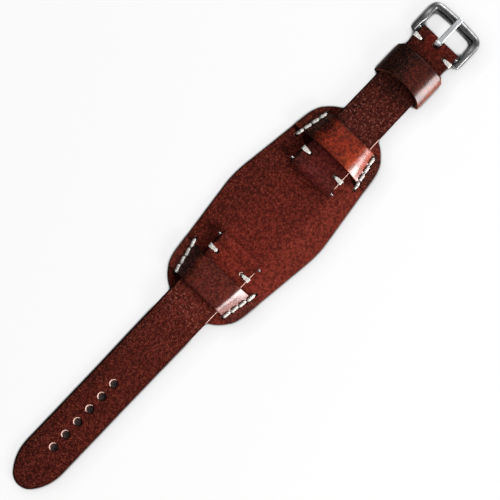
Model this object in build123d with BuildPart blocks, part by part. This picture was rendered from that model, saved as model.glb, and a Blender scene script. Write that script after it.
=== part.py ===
from build123d import *
import math
import os

# A hand-sewn bund watch strap, lying flat with its buckle open and its lug bars bare.
# A wide leather pad carries two strap halves, which run under leather bridges sewn to the pad.
# The origin is the middle of the pad's underside, halfway between the two lug bars.
# +X runs along the strap to the buckle, +Y across it and +Z up, off the table. Millimetres.

# Fits, shared by all pieces
leather_gap = 0.3
bore_gap = 0.05
seat_gap = 0.05
thread_gap = 0.05
overrun = 1.0

# Wrist pad
pad_thickness = 2.0
pad_width = 49.4
pad_tail_reach = 55.0
pad_buckle_reach = 53.5
pad_tail_end_width = 36.4
pad_buckle_end_width = 35.0
pad_corner_radius = 17.0
pad_point_radius = 46.0
corner_room_share = 0.92

# Strap halves, at the ends that fold round the lug bars
strap_thickness = 2.0
lug_spread = 44.0
lug_opening = 22.0
lug_side_gap = 0.15
lug_fold_wall = 1.25
lug_flap_thickness = 0.7
lug_flap_length = 11.0
lug_flap_taper = 3.0
lug_pinch_length = 4.5
lug_tack_inset = 6.3

# Tail half
tail_reach = 158.0
tail_width = 20.6
tail_point_length = 18.2
tail_nose_radius = 7.0
tail_drop_start = 2.0
tail_drop_length = 12.0
hole_count = 6
hole_pitch = 7.35
hole_diameter = 3.3
first_hole_inset = 22.7

# Buckle half
buckle_bar_reach = 98.8
buckle_neck_width = 20.1
buckle_strap_width = 19.8
buckle_fold_wall = 1.05
buckle_flap_thickness = 1.6
buckle_flap_length = 8.8
buckle_tack_inset = 3.6
tongue_slot_width = 3.0
tongue_slot_back = 2.3

# Bridges over the strap halves
bridge_reach = 39.5
bridge_width = 14.2
bridge_thickness = 1.5
bridge_crown = 0.5
bridge_splay = 12.3
bridge_wall_lean = 0.4
bridge_shoulder = 0.8

# White waxed thread
thread_width = 1.35
thread_height = 0.7
thread_core = 0.9
stitch_count = 4
stitch_spacing = 0.35
tail_row_shift = 0.45
tail_row_pitch = 4.18
buckle_row_shift = 1.6
buckle_row_pitch = 3.9
row_inset = 0.9
tack_thickness = 0.5
tack_reach = 3.9
tack_root_width = 1.2
tack_edge_width = 2.3

# Free keeper loop
keeper_thickness = 1.7
keeper_width = 15.3
keeper_rest_gap = 1.0
keeper_side_gap = 0.6
keeper_crown = 0.5
keeper_corner = 1.6
keeper_seam_width = 0.2
keeper_stitch_count = 3
keeper_stitch_pitch = 4.2
keeper_stitch_length = 4.0
keeper_stitch_width = 0.8
keeper_stitch_height = 0.5

# Spring bars, one at each lug pair and one in the buckle
bar_diameter = 1.8
bar_wall = 0.23
bar_lip_length = 0.4
tip_travel = 1.2
tip_flange = 0.55
tip_flange_inset = 0.15
tip_shoulder = 0.14
tip_head_length = 0.6
tip_nose_diameter = 0.9
tip_nose_length = 1.0
tip_nose_chamfer = 0.15
spring_wire = 0.25
spring_gap = 0.17
spring_turns = 16

# Buckle
buckle_side_gap = 1.0
buckle_leg = 2.5
buckle_back = 2.6
buckle_front = 13.8
buckle_rail = 2.2
buckle_ledge = 2.4
buckle_ledge_height = 1.5
buckle_leg_height = 3.9
buckle_rail_height = 3.3
buckle_foot_rise = 0.6
buckle_bow = 0.8
buckle_corner_radius = 3.6
buckle_window_radius = 1.6
buckle_edge_round = 0.35
buckle_slope_start = 4.2
buckle_slope_end = 10.0
tip_socket_depth = 1.4
tongue_width = 2.4
tongue_thickness = 1.1
tongue_eye_wall = 0.55
tongue_root_drop = 0.5
tongue_overhang = 0.6

# Sizes that follow from the layers, where each piece lies on the one below it, and from the bars
strap_lug_width = lug_opening - 2 * lug_side_gap
strap_z = pad_thickness + leather_gap
strap_top = strap_z + strap_thickness
lug_top = strap_z + lug_flap_thickness + strap_thickness
bar_hole_radius = bar_diameter / 2 + bore_gap
lug_fold_radius = bar_hole_radius + lug_fold_wall
lug_bar_z = strap_z + lug_fold_radius
lug_bar_x = lug_spread / 2
bridge_roof = lug_top + tack_thickness + leather_gap
buckle_fold_radius = bar_hole_radius + buckle_fold_wall
buckle_bar_z = strap_top - buckle_fold_radius
flap_z = strap_z - buckle_flap_thickness
buckle_flap_end = buckle_bar_reach - buckle_flap_length
bridge_inner = bridge_reach - bridge_width / 2
bridge_outer = bridge_reach + bridge_width / 2
bar_bore = bar_diameter - 2 * bar_wall
tip_flange_diameter = bar_diameter - 2 * tip_flange_inset
tip_head_diameter = bar_bore - 2 * bore_gap
tip_neck_diameter = tip_head_diameter - 2 * tip_shoulder
spring_diameter = bar_bore - 2 * spring_gap


def between(x, x0, value0, x1, value1):
    """The value at x on the straight line from (x0, value0) to (x1, value1)."""
    return value0 + (value1 - value0) * (x - x0) / (x1 - x0)


def tail_half_width(x):
    """Half the tail strap's width, this far from the middle of the pad."""
    last_hole = tail_reach - first_hole_inset - (hole_count - 1) * hole_pitch
    return between(x, lug_bar_x, strap_lug_width / 2, last_hole, tail_width / 2)


def buckle_half_width(x):
    """Half the buckle strap's width, this far from the middle of the pad."""
    if x < pad_buckle_reach:
        return between(
            x, lug_bar_x, strap_lug_width / 2, pad_buckle_reach, buckle_neck_width / 2
        )
    return between(
        x, pad_buckle_reach, buckle_neck_width / 2, buckle_bar_reach, buckle_strap_width / 2
    )


def end_corner_radius(end_width, reach):
    """The pad's corner radius, kept within the room that its end face and flank leave."""
    flank_angle = math.atan2((pad_width - end_width) / 2, reach)
    half_turn = math.tan((math.pi / 2 - flank_angle) / 2)
    return min(pad_corner_radius, corner_room_share * end_width / 2 / half_turn)


def pad_outline():
    """The pad's plan: six corners, with soft points at its middle and large round ends."""
    with BuildSketch() as outline:
        with BuildLine():
            Polyline(
                (-pad_tail_reach, -pad_tail_end_width / 2),
                (0, -pad_width / 2),
                (pad_buckle_reach, -pad_buckle_end_width / 2),
                (pad_buckle_reach, pad_buckle_end_width / 2),
                (0, pad_width / 2),
                (-pad_tail_reach, pad_tail_end_width / 2),
                close=True,
            )
        make_face()
        corners = outline.vertices().group_by(Axis.X)
        fillet(corners[0], end_corner_radius(pad_tail_end_width, pad_tail_reach))
        corners = outline.vertices().group_by(Axis.X)
        fillet(corners[-1], end_corner_radius(pad_buckle_end_width, pad_buckle_reach))
        widest = outline.vertices().group_by(Axis.Y)
        fillet(widest[0] + widest[-1], pad_point_radius)
    return outline.sketch


def bridge_foot(direction, x):
    """Half a bridge's mouth down on the pad, this far from the pad's middle."""
    half_width = tail_half_width if direction < 0 else buckle_half_width
    opening = (bridge_outer - x) * math.tan(math.radians(bridge_splay))
    return half_width(bridge_outer) + leather_gap + bridge_wall_lean + opening


def row_plane(direction, side, height):
    """The plane of one stitch row: its local X runs along the bridge's foot, to its outer end."""
    reach = bridge_reach - (tail_row_shift if direction < 0 else buckle_row_shift)
    offset = bridge_foot(direction, reach) + bridge_thickness + row_inset
    splay = math.radians(bridge_splay)
    return Plane(
        origin=(direction * reach, side * offset, height),
        x_dir=(direction * math.cos(splay), -side * math.sin(splay), 0),
        z_dir=(0, 0, 1),
    )


def row_pitch(direction):
    return tail_row_pitch if direction < 0 else buckle_row_pitch


def row_holes(direction):
    """Where a row's thread goes through the leather, along the row's own line."""
    pitch = row_pitch(direction)
    return [(pitch * (n - stitch_count / 2), 0) for n in range(stitch_count + 1)]


def row_stitches(direction):
    """The middle of each stitch, along the row's own line."""
    pitch = row_pitch(direction)
    return [(pitch * (n + 0.5 - stitch_count / 2), 0) for n in range(stitch_count)]


rows = [
    ("tail_bridge_stitching_left", -1, 1),
    ("tail_bridge_stitching_right", -1, -1),
    ("buckle_bridge_stitching_left", 1, 1),
    ("buckle_bridge_stitching_right", 1, -1),
]

os.makedirs("parts", exist_ok=True)

# Pad: one thick cut of leather, with a groove underneath for the back of each stitch row
with BuildPart() as pad:
    add(pad_outline())
    extrude(amount=pad_thickness)
    for name, direction, side in rows:
        length = row_pitch(direction) * stitch_count + thread_width
        with BuildSketch(row_plane(direction, side, 0)):
            SlotOverall(length + 2 * thread_gap, thread_core + 2 * thread_gap)
        extrude(amount=thread_height + thread_gap, mode=Mode.SUBTRACT)
        with BuildSketch(row_plane(direction, side, 0)):
            with Locations(row_holes(direction)):
                Circle(thread_core / 2 + thread_gap)
        extrude(amount=pad_thickness, mode=Mode.SUBTRACT)
pad.part.label = "pad"
export_step(pad.part, "parts/pad.step")


def bridge_section(plane, foot):
    """A bridge's cross-section: flat flanges on the pad and an arch over the strap."""
    roof = foot - bridge_wall_lean
    edge = pad_width / 2 + overrun
    flange = pad_thickness + bridge_thickness
    top = bridge_roof + bridge_thickness
    with BuildSketch(plane) as section:
        with BuildLine():
            Polyline(
                (-roof - bridge_thickness + bridge_shoulder, top - bridge_shoulder),
                (-foot - bridge_thickness, flange),
                (-edge, flange),
                (-edge, pad_thickness),
                (-foot, pad_thickness),
                (-roof, bridge_roof),
                (roof, bridge_roof),
                (foot, pad_thickness),
                (edge, pad_thickness),
                (edge, flange),
                (foot + bridge_thickness, flange),
                (roof + bridge_thickness - bridge_shoulder, top - bridge_shoulder),
            )
            ThreePointArc(
                (roof + bridge_thickness - bridge_shoulder, top - bridge_shoulder),
                (0, top + bridge_crown),
                (-roof - bridge_thickness + bridge_shoulder, top - bridge_shoulder),
            )
        make_face()
    return section.sketch


# Bridges: leather bands formed over the strap, sewn down at both ends and trimmed with the pad
for name, direction in (("tail_bridge", -1), ("buckle_bridge", 1)):
    with BuildPart() as bridge:
        for x in (bridge_inner, bridge_outer):
            add(bridge_section(Plane.YZ.offset(direction * x), bridge_foot(direction, x)))
        loft(ruled=True)
        add(pad_outline())
        extrude(amount=bridge_roof + bridge_thickness + overrun, mode=Mode.INTERSECT)
        for side in (-1, 1):
            with BuildSketch(row_plane(direction, side, pad_thickness)):
                with Locations(row_holes(direction)):
                    Circle(thread_core / 2 + thread_gap)
            extrude(amount=bridge_thickness, mode=Mode.SUBTRACT)
    bridge.part.label = name
    export_step(bridge.part, f"parts/{name}.step")

# Bridge stitching: one unbroken thread a row, on top of the flange, through it and under the pad
stitch_z = pad_thickness + bridge_thickness
for name, direction, side in rows:
    with BuildPart() as row:
        with BuildSketch(row_plane(direction, side, thread_gap)):
            with Locations(row_holes(direction)):
                Circle(thread_core / 2)
        extrude(amount=stitch_z + thread_height / 2)
        with BuildSketch(row_plane(direction, side, thread_gap)):
            SlotOverall(row_pitch(direction) * stitch_count + thread_width, thread_core)
        extrude(amount=thread_height - thread_gap)
        with BuildSketch(row_plane(direction, side, stitch_z)):
            with Locations(row_stitches(direction)):
                SlotOverall(row_pitch(direction) - stitch_spacing, thread_width)
        extrude(amount=thread_height)
    row.part.label = name
    export_step(row.part, f"parts/{name}.step")


def tack_seat(half_width, x):
    """Half a strap's width under a tack, at the tack's side where the strap is wider."""
    return max(half_width(x - tack_edge_width / 2), half_width(x + tack_edge_width / 2))


def tack_fan(x, half_width, side, growth):
    """A tack's plan, fanning from its hole to the strap's edge, grown all round by growth."""
    root = side * (half_width - tack_reach - growth)
    edge = side * (half_width + thread_gap + tack_thickness + growth)
    with BuildSketch() as fan:
        with BuildLine():
            Polyline(
                (x - tack_root_width / 2 - growth, root),
                (x + tack_root_width / 2 + growth, root),
                (x + tack_edge_width / 2 + growth, edge),
                (x - tack_edge_width / 2 - growth, edge),
                close=True,
            )
        make_face()
    return fan.sketch


def tack_hole_y(half_width, side):
    return side * (half_width - tack_reach + tack_root_width / 2)


def tack_hole(x, half_width, side, height):
    """The hole that a tack's thread goes through, at this height."""
    with BuildSketch(Plane.XY.offset(height)) as hole:
        with Locations((x, tack_hole_y(half_width, side))):
            Circle(thread_core / 2 + thread_gap)
    return hole.sketch


def tack_groove(x, half_width, side, height):
    """The groove under a fold that a tack's thread is drawn into, from below this height."""
    fan = tack_fan(x, half_width, side, thread_gap)
    return Plane.XY.offset(height - overrun).location * fan


def make_tack(name, x, half_width, side, low, high):
    """Thread wound round the strap's edge, through one hole, to hold a fold shut."""
    with BuildPart() as tack:
        add(Plane.XY.offset(low).location * tack_fan(x, half_width, side, 0))
        extrude(amount=tack_thickness)
        add(Plane.XY.offset(high).location * tack_fan(x, half_width, side, 0))
        extrude(amount=tack_thickness)
        with BuildSketch(Plane.XY.offset(low)):
            with Locations((x, side * (half_width + thread_gap + tack_thickness / 2))):
                Rectangle(tack_edge_width, tack_thickness)
            with Locations((x, tack_hole_y(half_width, side))):
                Circle(thread_core / 2)
        extrude(amount=high - low + tack_thickness)
    tack.part.label = name
    export_step(tack.part, f"parts/{name}.step")


lug_tack_x = lug_bar_x + lug_tack_inset
lug_flap_end = lug_bar_x + lug_flap_length


def lug_top_line(direction):
    """The top of a half from over the lug bar to where it lies single, as section points."""
    return [
        (direction * lug_bar_x, lug_bar_z + lug_fold_radius),
        (direction * (lug_bar_x + lug_pinch_length), lug_top),
        (direction * lug_flap_end, lug_top),
        (direction * (lug_flap_end + lug_flap_taper), strap_top),
    ]


def lug_fold(direction):
    """Adds the rounded fold over the lug bar to a section, with the bar's hole in it."""
    with Locations((direction * lug_bar_x, lug_bar_z)):
        Circle(lug_fold_radius)
        Circle(bar_hole_radius, mode=Mode.SUBTRACT)


# The tail leaves the pad level past the pad's end and comes down to the table in two like arcs
drop_start = pad_tail_reach + tail_drop_start
drop_end = drop_start + tail_drop_length
drop_radius = (tail_drop_length**2 + strap_z**2) / (4 * strap_z)
drop_angle = math.asin(tail_drop_length / 2 / drop_radius)
quarter_run = drop_radius * math.sin(drop_angle / 2)
quarter_fall = drop_radius * (1 - math.cos(drop_angle / 2))
drop_middle = (drop_start + drop_end) / 2


def drop_arcs(lift):
    """The two arcs of the tail's step down to the table, lift above its underside."""
    ThreePointArc(
        (-drop_start, strap_z + lift),
        (-drop_start - quarter_run, strap_z - quarter_fall + lift),
        (-drop_middle, strap_z / 2 + lift),
    )
    ThreePointArc(
        (-drop_middle, strap_z / 2 + lift),
        (-drop_end + quarter_run, quarter_fall + lift),
        (-drop_end, lift),
    )


# The tail's end is two arcs that start along its edges and would meet in a sharp point
ogive_radius = (tail_point_length**2 + (tail_width / 2) ** 2) / tail_width
point_angle = math.atan2(tail_point_length, ogive_radius - tail_width / 2)
point_x = tail_reach + tail_nose_radius * (1 / math.sin(point_angle) - 1)
point_start = point_x - tail_point_length
half_point_angle = point_angle / 2
ogive_middle_x = point_start + ogive_radius * math.sin(half_point_angle)
ogive_middle_y = tail_width / 2 - ogive_radius * (1 - math.cos(half_point_angle))
widest_x = tail_reach - first_hole_inset - (hole_count - 1) * hole_pitch
lug_end_x = lug_bar_x - lug_fold_radius - overrun

# Tail half: one strip, folded back round the lug bar and thinned where it is doubled
with BuildPart() as tail_strap:
    with BuildSketch(Plane.XZ):
        with BuildLine():
            Polyline(*lug_top_line(-1), (-drop_start, strap_top))
            drop_arcs(strap_thickness)
            Polyline(
                (-drop_end, strap_thickness),
                (-point_x, strap_thickness),
                (-point_x, 0),
                (-drop_end, 0),
            )
            drop_arcs(0)
            Polyline(
                (-drop_start, strap_z),
                (-lug_bar_x, strap_z),
                (-lug_bar_x, lug_bar_z + lug_fold_radius),
            )
        make_face()
        lug_fold(-1)
    extrude(amount=strap_lug_width, both=True)
    with BuildSketch():
        with BuildLine():
            Polyline(
                (-point_start, tail_width / 2),
                (-widest_x, tail_width / 2),
                (-lug_end_x, tail_half_width(lug_end_x)),
                (-lug_end_x, -tail_half_width(lug_end_x)),
                (-widest_x, -tail_width / 2),
                (-point_start, -tail_width / 2),
            )
            ThreePointArc(
                (-point_start, -tail_width / 2),
                (-ogive_middle_x, -ogive_middle_y),
                (-point_x, 0),
            )
            ThreePointArc(
                (-point_x, 0),
                (-ogive_middle_x, ogive_middle_y),
                (-point_start, tail_width / 2),
            )
        tail_plan = make_face()
        fillet(tail_plan.vertices().sort_by(Axis.X)[0], tail_nose_radius)
    extrude(amount=lug_bar_z + lug_fold_radius + overrun, mode=Mode.INTERSECT)
    with BuildSketch():
        for n in range(hole_count):
            with Locations((-tail_reach + first_hole_inset + n * hole_pitch, 0)):
                Circle(hole_diameter / 2)
    extrude(amount=strap_thickness, mode=Mode.SUBTRACT)
    for side in (-1, 1):
        add(tack_hole(-lug_tack_x, tack_seat(tail_half_width, lug_tack_x), side, strap_z))
        extrude(amount=lug_top - strap_z, mode=Mode.SUBTRACT)
        add(tack_groove(-lug_tack_x, tack_seat(tail_half_width, lug_tack_x), side, strap_z))
        extrude(amount=overrun + tack_thickness + thread_gap, mode=Mode.SUBTRACT)
tail_strap.part.label = "tail_strap"
export_step(tail_strap.part, "parts/tail_strap.step")

# Buckle half: one strip, folded back at both ends, with a slot for the tongue at the buckle
buckle_end = buckle_bar_reach + buckle_fold_radius + overrun
buckle_tack_x = buckle_bar_reach - buckle_tack_inset
with BuildPart() as buckle_strap:
    with BuildSketch(Plane.XZ):
        with BuildLine():
            Polyline(
                *lug_top_line(1),
                (buckle_bar_reach, strap_top),
                (buckle_bar_reach, flap_z),
                (buckle_flap_end, flap_z),
                (buckle_flap_end, strap_z),
                (lug_bar_x, strap_z),
                close=True,
            )
        make_face()
        lug_fold(1)
        with Locations((buckle_bar_reach, buckle_bar_z)):
            Circle(buckle_fold_radius)
            Circle(bar_hole_radius, mode=Mode.SUBTRACT)
    extrude(amount=strap_lug_width, both=True)
    with BuildSketch():
        with BuildLine():
            Polyline(
                (lug_end_x, buckle_half_width(lug_end_x)),
                (pad_buckle_reach, buckle_half_width(pad_buckle_reach)),
                (buckle_end, buckle_strap_width / 2),
                (buckle_end, -buckle_strap_width / 2),
                (pad_buckle_reach, -buckle_half_width(pad_buckle_reach)),
                (lug_end_x, -buckle_half_width(lug_end_x)),
                close=True,
            )
        make_face()
    extrude(amount=lug_bar_z + lug_fold_radius + overrun, mode=Mode.INTERSECT)
    slot_length = tongue_slot_back + buckle_fold_radius + overrun
    with BuildSketch():
        with Locations((buckle_bar_reach - tongue_slot_back + slot_length / 2, 0)):
            Rectangle(slot_length, tongue_slot_width)
    extrude(amount=strap_top + overrun, mode=Mode.SUBTRACT)
    for tack_x, low, high in ((lug_tack_x, strap_z, lug_top), (buckle_tack_x, flap_z, strap_top)):
        seat = tack_seat(buckle_half_width, tack_x)
        for side in (-1, 1):
            add(tack_hole(tack_x, seat, side, low))
            extrude(amount=high - low, mode=Mode.SUBTRACT)
            add(tack_groove(tack_x, seat, side, low))
            extrude(amount=overrun + tack_thickness + thread_gap, mode=Mode.SUBTRACT)
buckle_strap.part.label = "buckle_strap"
export_step(buckle_strap.part, "parts/buckle_strap.step")

# Tacks: white thread wound round the edge beside each fold
for hand, side in (("left", 1), ("right", -1)):
    seat = tack_seat(tail_half_width, lug_tack_x)
    make_tack(f"tail_lug_tack_{hand}", -lug_tack_x, seat, side, strap_z, lug_top)
    seat = tack_seat(buckle_half_width, lug_tack_x)
    make_tack(f"buckle_lug_tack_{hand}", lug_tack_x, seat, side, strap_z, lug_top)
    seat = tack_seat(buckle_half_width, buckle_tack_x)
    make_tack(f"buckle_end_tack_{hand}", buckle_tack_x, seat, side, flap_z, strap_top)

# Keeper: a free loop with room for the strap and the tail, closed by a butt seam underneath
keeper_front = buckle_flap_end - keeper_rest_gap
keeper_middle = keeper_front - keeper_width / 2
keeper_inner = buckle_half_width(keeper_front - keeper_width) + keeper_side_gap
keeper_outer = keeper_inner + keeper_thickness
keeper_floor = keeper_thickness
keeper_roof = strap_top + strap_thickness + leather_gap


def keeper_profile(half_width, low, side_top, crown_top):
    """One face of the keeper's loop, flat underneath and gently arched on top."""
    Polyline((-half_width, side_top), (-half_width, low), (half_width, low), (half_width, side_top))
    ThreePointArc((half_width, side_top), (0, crown_top), (-half_width, side_top))


def keeper_seams():
    """Where the keeper's closing stitches stand, along its width."""
    first = keeper_middle - keeper_stitch_pitch * (keeper_stitch_count - 1) / 2
    return [(first + n * keeper_stitch_pitch, 0) for n in range(keeper_stitch_count)]


with BuildPart() as keeper:
    with BuildSketch(Plane.YZ.offset(keeper_front - keeper_width)) as keeper_section:
        keeper_top = keeper_roof + keeper_thickness
        with BuildLine():
            keeper_profile(keeper_outer, 0, keeper_top - keeper_crown, keeper_top + keeper_crown)
        make_face()
        fillet(keeper_section.vertices(), keeper_corner)
        with BuildLine():
            keeper_profile(
                keeper_inner, keeper_floor, keeper_roof - keeper_crown, keeper_roof + keeper_crown
            )
        make_face(mode=Mode.SUBTRACT)
    extrude(amount=keeper_width)
    with BuildSketch():
        with Locations((keeper_middle, 0)):
            Rectangle(keeper_width, keeper_seam_width)
    extrude(amount=keeper_floor, mode=Mode.SUBTRACT)
    with BuildSketch() as keeper_ends:
        with Locations(keeper_seams()):
            Rectangle(
                keeper_stitch_width + 2 * thread_gap, keeper_stitch_length + 2 * thread_gap
            )
            inner_length = keeper_stitch_length - 2 * keeper_stitch_width - 2 * thread_gap
            Rectangle(keeper_stitch_width + 2 * thread_gap, inner_length, mode=Mode.SUBTRACT)
    extrude(amount=keeper_floor, mode=Mode.SUBTRACT)
    with BuildSketch():
        with Locations(keeper_seams()):
            Rectangle(
                keeper_stitch_width + 2 * thread_gap, keeper_stitch_length + 2 * thread_gap
            )
    extrude(amount=keeper_stitch_height + 2 * thread_gap, mode=Mode.SUBTRACT)
keeper.part.label = "keeper"
export_step(keeper.part, "parts/keeper.step")

# Keeper stitches: thread rings across the butt seam, sunk into the leather underneath
keeper_stitch_top = keeper_floor + keeper_stitch_height
with BuildPart() as keeper_stitches:
    with BuildSketch(Plane.XY.offset(thread_gap)):
        with Locations(keeper_seams()):
            Rectangle(keeper_stitch_width, keeper_stitch_length)
    extrude(amount=keeper_stitch_top - thread_gap)
    with BuildSketch(Plane.XY.offset(thread_gap + keeper_stitch_height)):
        with Locations(keeper_seams()):
            Rectangle(keeper_stitch_width, keeper_stitch_length - 2 * keeper_stitch_width)
    extrude(amount=keeper_floor - thread_gap - keeper_stitch_height, mode=Mode.SUBTRACT)
keeper_stitches.part.label = "keeper_stitches"
export_step(keeper_stitches.part, "parts/keeper_stitches.step")


def bar_plane(x, z, side):
    """A plane across a spring bar at its middle, facing out to one side."""
    return Plane(origin=(x, 0, z), x_dir=(1, 0, 0), z_dir=(0, side, 0))


def make_spring_bar(name, x, z, opening):
    """A spring bar that fits between two faces: a tube, two shouldered tips and their spring."""
    flange_out = opening / 2 - seat_gap
    flange_in = flange_out - tip_flange
    tube_half = flange_in - tip_travel - seat_gap
    head_out = tube_half - bar_lip_length - seat_gap
    head_in = head_out - tip_head_length
    lip_diameter = tip_neck_diameter + 2 * bore_gap
    with BuildPart() as tube:
        with BuildSketch(bar_plane(x, z, 1)):
            Circle(bar_diameter / 2)
            Circle(lip_diameter / 2, mode=Mode.SUBTRACT)
        extrude(amount=tube_half, both=True)
        with BuildSketch(bar_plane(x, z, 1)):
            Circle(bar_bore / 2)
        extrude(amount=tube_half - bar_lip_length, both=True, mode=Mode.SUBTRACT)
    tube.part.label = f"{name}_tube"
    export_step(tube.part, f"parts/{name}_tube.step")
    for hand, side in (("left", 1), ("right", -1)):
        across = bar_plane(x, z, side)
        with BuildPart() as tip:
            with BuildSketch(across.offset(head_in)):
                Circle(tip_head_diameter / 2)
            extrude(amount=tip_head_length)
            with BuildSketch(across.offset(head_out)):
                Circle(tip_neck_diameter / 2)
            extrude(amount=flange_in - head_out)
            with BuildSketch(across.offset(flange_in)):
                Circle(tip_flange_diameter / 2)
            extrude(amount=tip_flange)
            with BuildSketch(across.offset(flange_out)):
                Circle(tip_nose_diameter / 2)
            extrude(amount=tip_nose_length)
            nose_edge = tip.edges().filter_by(GeomType.CIRCLE).sort_by(Axis.Y)[-1 if side > 0 else 0]
            chamfer(nose_edge, tip_nose_chamfer)
        tip.part.label = f"{name}_tip_{hand}"
        export_step(tip.part, f"parts/{name}_tip_{hand}.step")
    spring_half = head_in - seat_gap - spring_wire / 2
    with BuildPart() as spring:
        with BuildLine() as coil:
            Helix(
                2 * spring_half / spring_turns,
                2 * spring_half,
                (spring_diameter - spring_wire) / 2,
                center=(x, -spring_half, z),
                direction=(0, 1, 0),
            )
        with BuildSketch(Plane(origin=coil.line @ 0, z_dir=coil.line % 0)):
            Circle(spring_wire / 2)
        sweep(is_frenet=True)
    spring.part.label = f"{name}_spring"
    export_step(spring.part, f"parts/{name}_spring.step")


buckle_opening = buckle_strap_width + 2 * buckle_side_gap
make_spring_bar("tail_lug_bar", -lug_bar_x, lug_bar_z, lug_opening)
make_spring_bar("buckle_lug_bar", lug_bar_x, lug_bar_z, lug_opening)
make_spring_bar("buckle_bar", buckle_bar_reach, buckle_bar_z, buckle_opening)

# Buckle frame: a steel bow open at the back, with a stepped outer bar and blind holes for the tips
frame_half = buckle_opening / 2 + buckle_leg
frame_back = buckle_bar_reach - buckle_back
frame_front = buckle_bar_reach + buckle_front
rail_back = frame_front - buckle_rail
slope_start = buckle_bar_reach + buckle_slope_start
slope_end = buckle_bar_reach + buckle_slope_end
with BuildPart() as buckle_frame:
    with BuildSketch(Plane.XZ):
        with BuildLine():
            Polyline(
                (frame_back, buckle_foot_rise),
                (slope_start, 0),
                (frame_front, 0),
                (frame_front, buckle_rail_height),
                (slope_end, buckle_rail_height),
                (slope_start, buckle_leg_height),
                (frame_back, buckle_leg_height),
                close=True,
            )
        make_face()
    extrude(amount=frame_half, both=True)
    with BuildSketch() as frame_plan:
        with BuildLine():
            Polyline(
                (frame_front - buckle_bow, frame_half),
                (frame_back, frame_half),
                (frame_back, -frame_half),
                (frame_front - buckle_bow, -frame_half),
            )
            ThreePointArc(
                (frame_front - buckle_bow, -frame_half),
                (frame_front, 0),
                (frame_front - buckle_bow, frame_half),
            )
        make_face()
        fillet(frame_plan.vertices().group_by(Axis.X)[-1], buckle_corner_radius)
    extrude(amount=buckle_leg_height, mode=Mode.INTERSECT)
    fillet(
        buckle_frame.faces().sort_by(Axis.Z)[-1].edges().filter_by(Axis.X), buckle_edge_round
    )
    for floor, reach in ((0, rail_back - buckle_ledge), (buckle_ledge_height, rail_back)):
        with BuildSketch(Plane.XY.offset(floor)) as window:
            with BuildLine():
                Polyline(
                    (reach - buckle_bow, buckle_opening / 2),
                    (frame_back - overrun, buckle_opening / 2),
                    (frame_back - overrun, -buckle_opening / 2),
                    (reach - buckle_bow, -buckle_opening / 2),
                )
                ThreePointArc(
                    (reach - buckle_bow, -buckle_opening / 2),
                    (reach, 0),
                    (reach - buckle_bow, buckle_opening / 2),
                )
            make_face()
            fillet(window.vertices().group_by(Axis.X)[-1], buckle_window_radius)
        extrude(amount=buckle_leg_height, mode=Mode.SUBTRACT)
    for side in (-1, 1):
        with BuildSketch(bar_plane(buckle_bar_reach, buckle_bar_z, side)):
            Circle(tip_nose_diameter / 2 + bore_gap)
        extrude(amount=buckle_opening / 2 + tip_socket_depth, mode=Mode.SUBTRACT)
buckle_frame.part.label = "buckle_frame"
export_step(buckle_frame.part, "parts/buckle_frame.step")

# Tongue: a flat steel strip rolled round the bar, which rests on the outer bar
eye_radius = bar_hole_radius + tongue_eye_wall
tongue_rest = buckle_rail_height + seat_gap
tongue_tip = frame_front + tongue_overhang
root_top = buckle_bar_z + eye_radius - tongue_root_drop
with BuildPart() as buckle_tongue:
    with BuildSketch(Plane.XZ):
        with BuildLine():
            Polyline(
                (buckle_bar_reach, root_top - tongue_thickness),
                (slope_end, tongue_rest),
                (tongue_tip, tongue_rest),
                (tongue_tip, tongue_rest + tongue_thickness),
                (slope_end, tongue_rest + tongue_thickness),
                (buckle_bar_reach, root_top),
                close=True,
            )
        make_face()
        with Locations((buckle_bar_reach, buckle_bar_z)):
            Circle(eye_radius)
            Circle(bar_hole_radius, mode=Mode.SUBTRACT)
    extrude(amount=tongue_width / 2, both=True)
buckle_tongue.part.label = "buckle_tongue"
export_step(buckle_tongue.part, "parts/buckle_tongue.step")
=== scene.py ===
import bisect
import math
from itertools import accumulate, pairwise

import bmesh
import bpy
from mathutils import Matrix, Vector, noise
from mathutils.geometry import delaunay_2d_cdt
from mathutils.kdtree import KDTree


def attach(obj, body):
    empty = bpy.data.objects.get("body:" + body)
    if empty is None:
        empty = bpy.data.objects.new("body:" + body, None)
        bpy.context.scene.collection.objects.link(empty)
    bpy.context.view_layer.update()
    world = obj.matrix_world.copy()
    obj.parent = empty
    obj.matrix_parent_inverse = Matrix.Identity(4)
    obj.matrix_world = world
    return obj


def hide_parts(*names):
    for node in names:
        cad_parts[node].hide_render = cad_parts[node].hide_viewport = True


# A hand-sewn bund watch strap, laid flat on a pale table and seen from straight above.
# Sizes are in millimetres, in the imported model's frame: +X to the buckle, +Z up off the table.
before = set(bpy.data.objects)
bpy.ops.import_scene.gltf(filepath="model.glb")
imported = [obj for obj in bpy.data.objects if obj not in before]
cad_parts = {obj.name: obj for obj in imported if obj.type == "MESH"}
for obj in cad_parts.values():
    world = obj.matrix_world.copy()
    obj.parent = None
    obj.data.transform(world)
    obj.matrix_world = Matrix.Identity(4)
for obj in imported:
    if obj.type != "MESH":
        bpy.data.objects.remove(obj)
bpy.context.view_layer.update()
mm = 0.001


# Camera, table and light: a long lens straight above the strap, which runs to the upper right,
# one broad soft lamp low on the strap's right side and a weaker one past the buckle. The table is
# matt and nearly white; as the camera sees it, its white is dimmed by ambient occlusion, as painted
# shade in corners and under holes and as a painted soft shadow on the right side of things.
view_middle = (-18.4, -2.6)
view_width = 210.5
view_turn = math.radians(-46.4)
view_height = 1000.0
lamps = {
    "soft_lamp": dict(place=(0.0, -735.0, 375.0), size=(460.0, 360.0), power=8.5),
    "fill_lamp": dict(place=(640.0, 40.0, 560.0), size=(300.0, 300.0), power=2.6),
}
right_wall_light = 1.7
left_wall_light = 0.06
ceiling_light = 0.05
wall_top = 0.65
table_lift = 0.85
painted_corner_shade_reach = 2.8
painted_shadow_reach = 9.0
painted_shadow_depth = 0.35
table_size = 3000.0
table_drop = 0.05
table_tone = 0.93
white = (1, 1, 1, 1)


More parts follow.
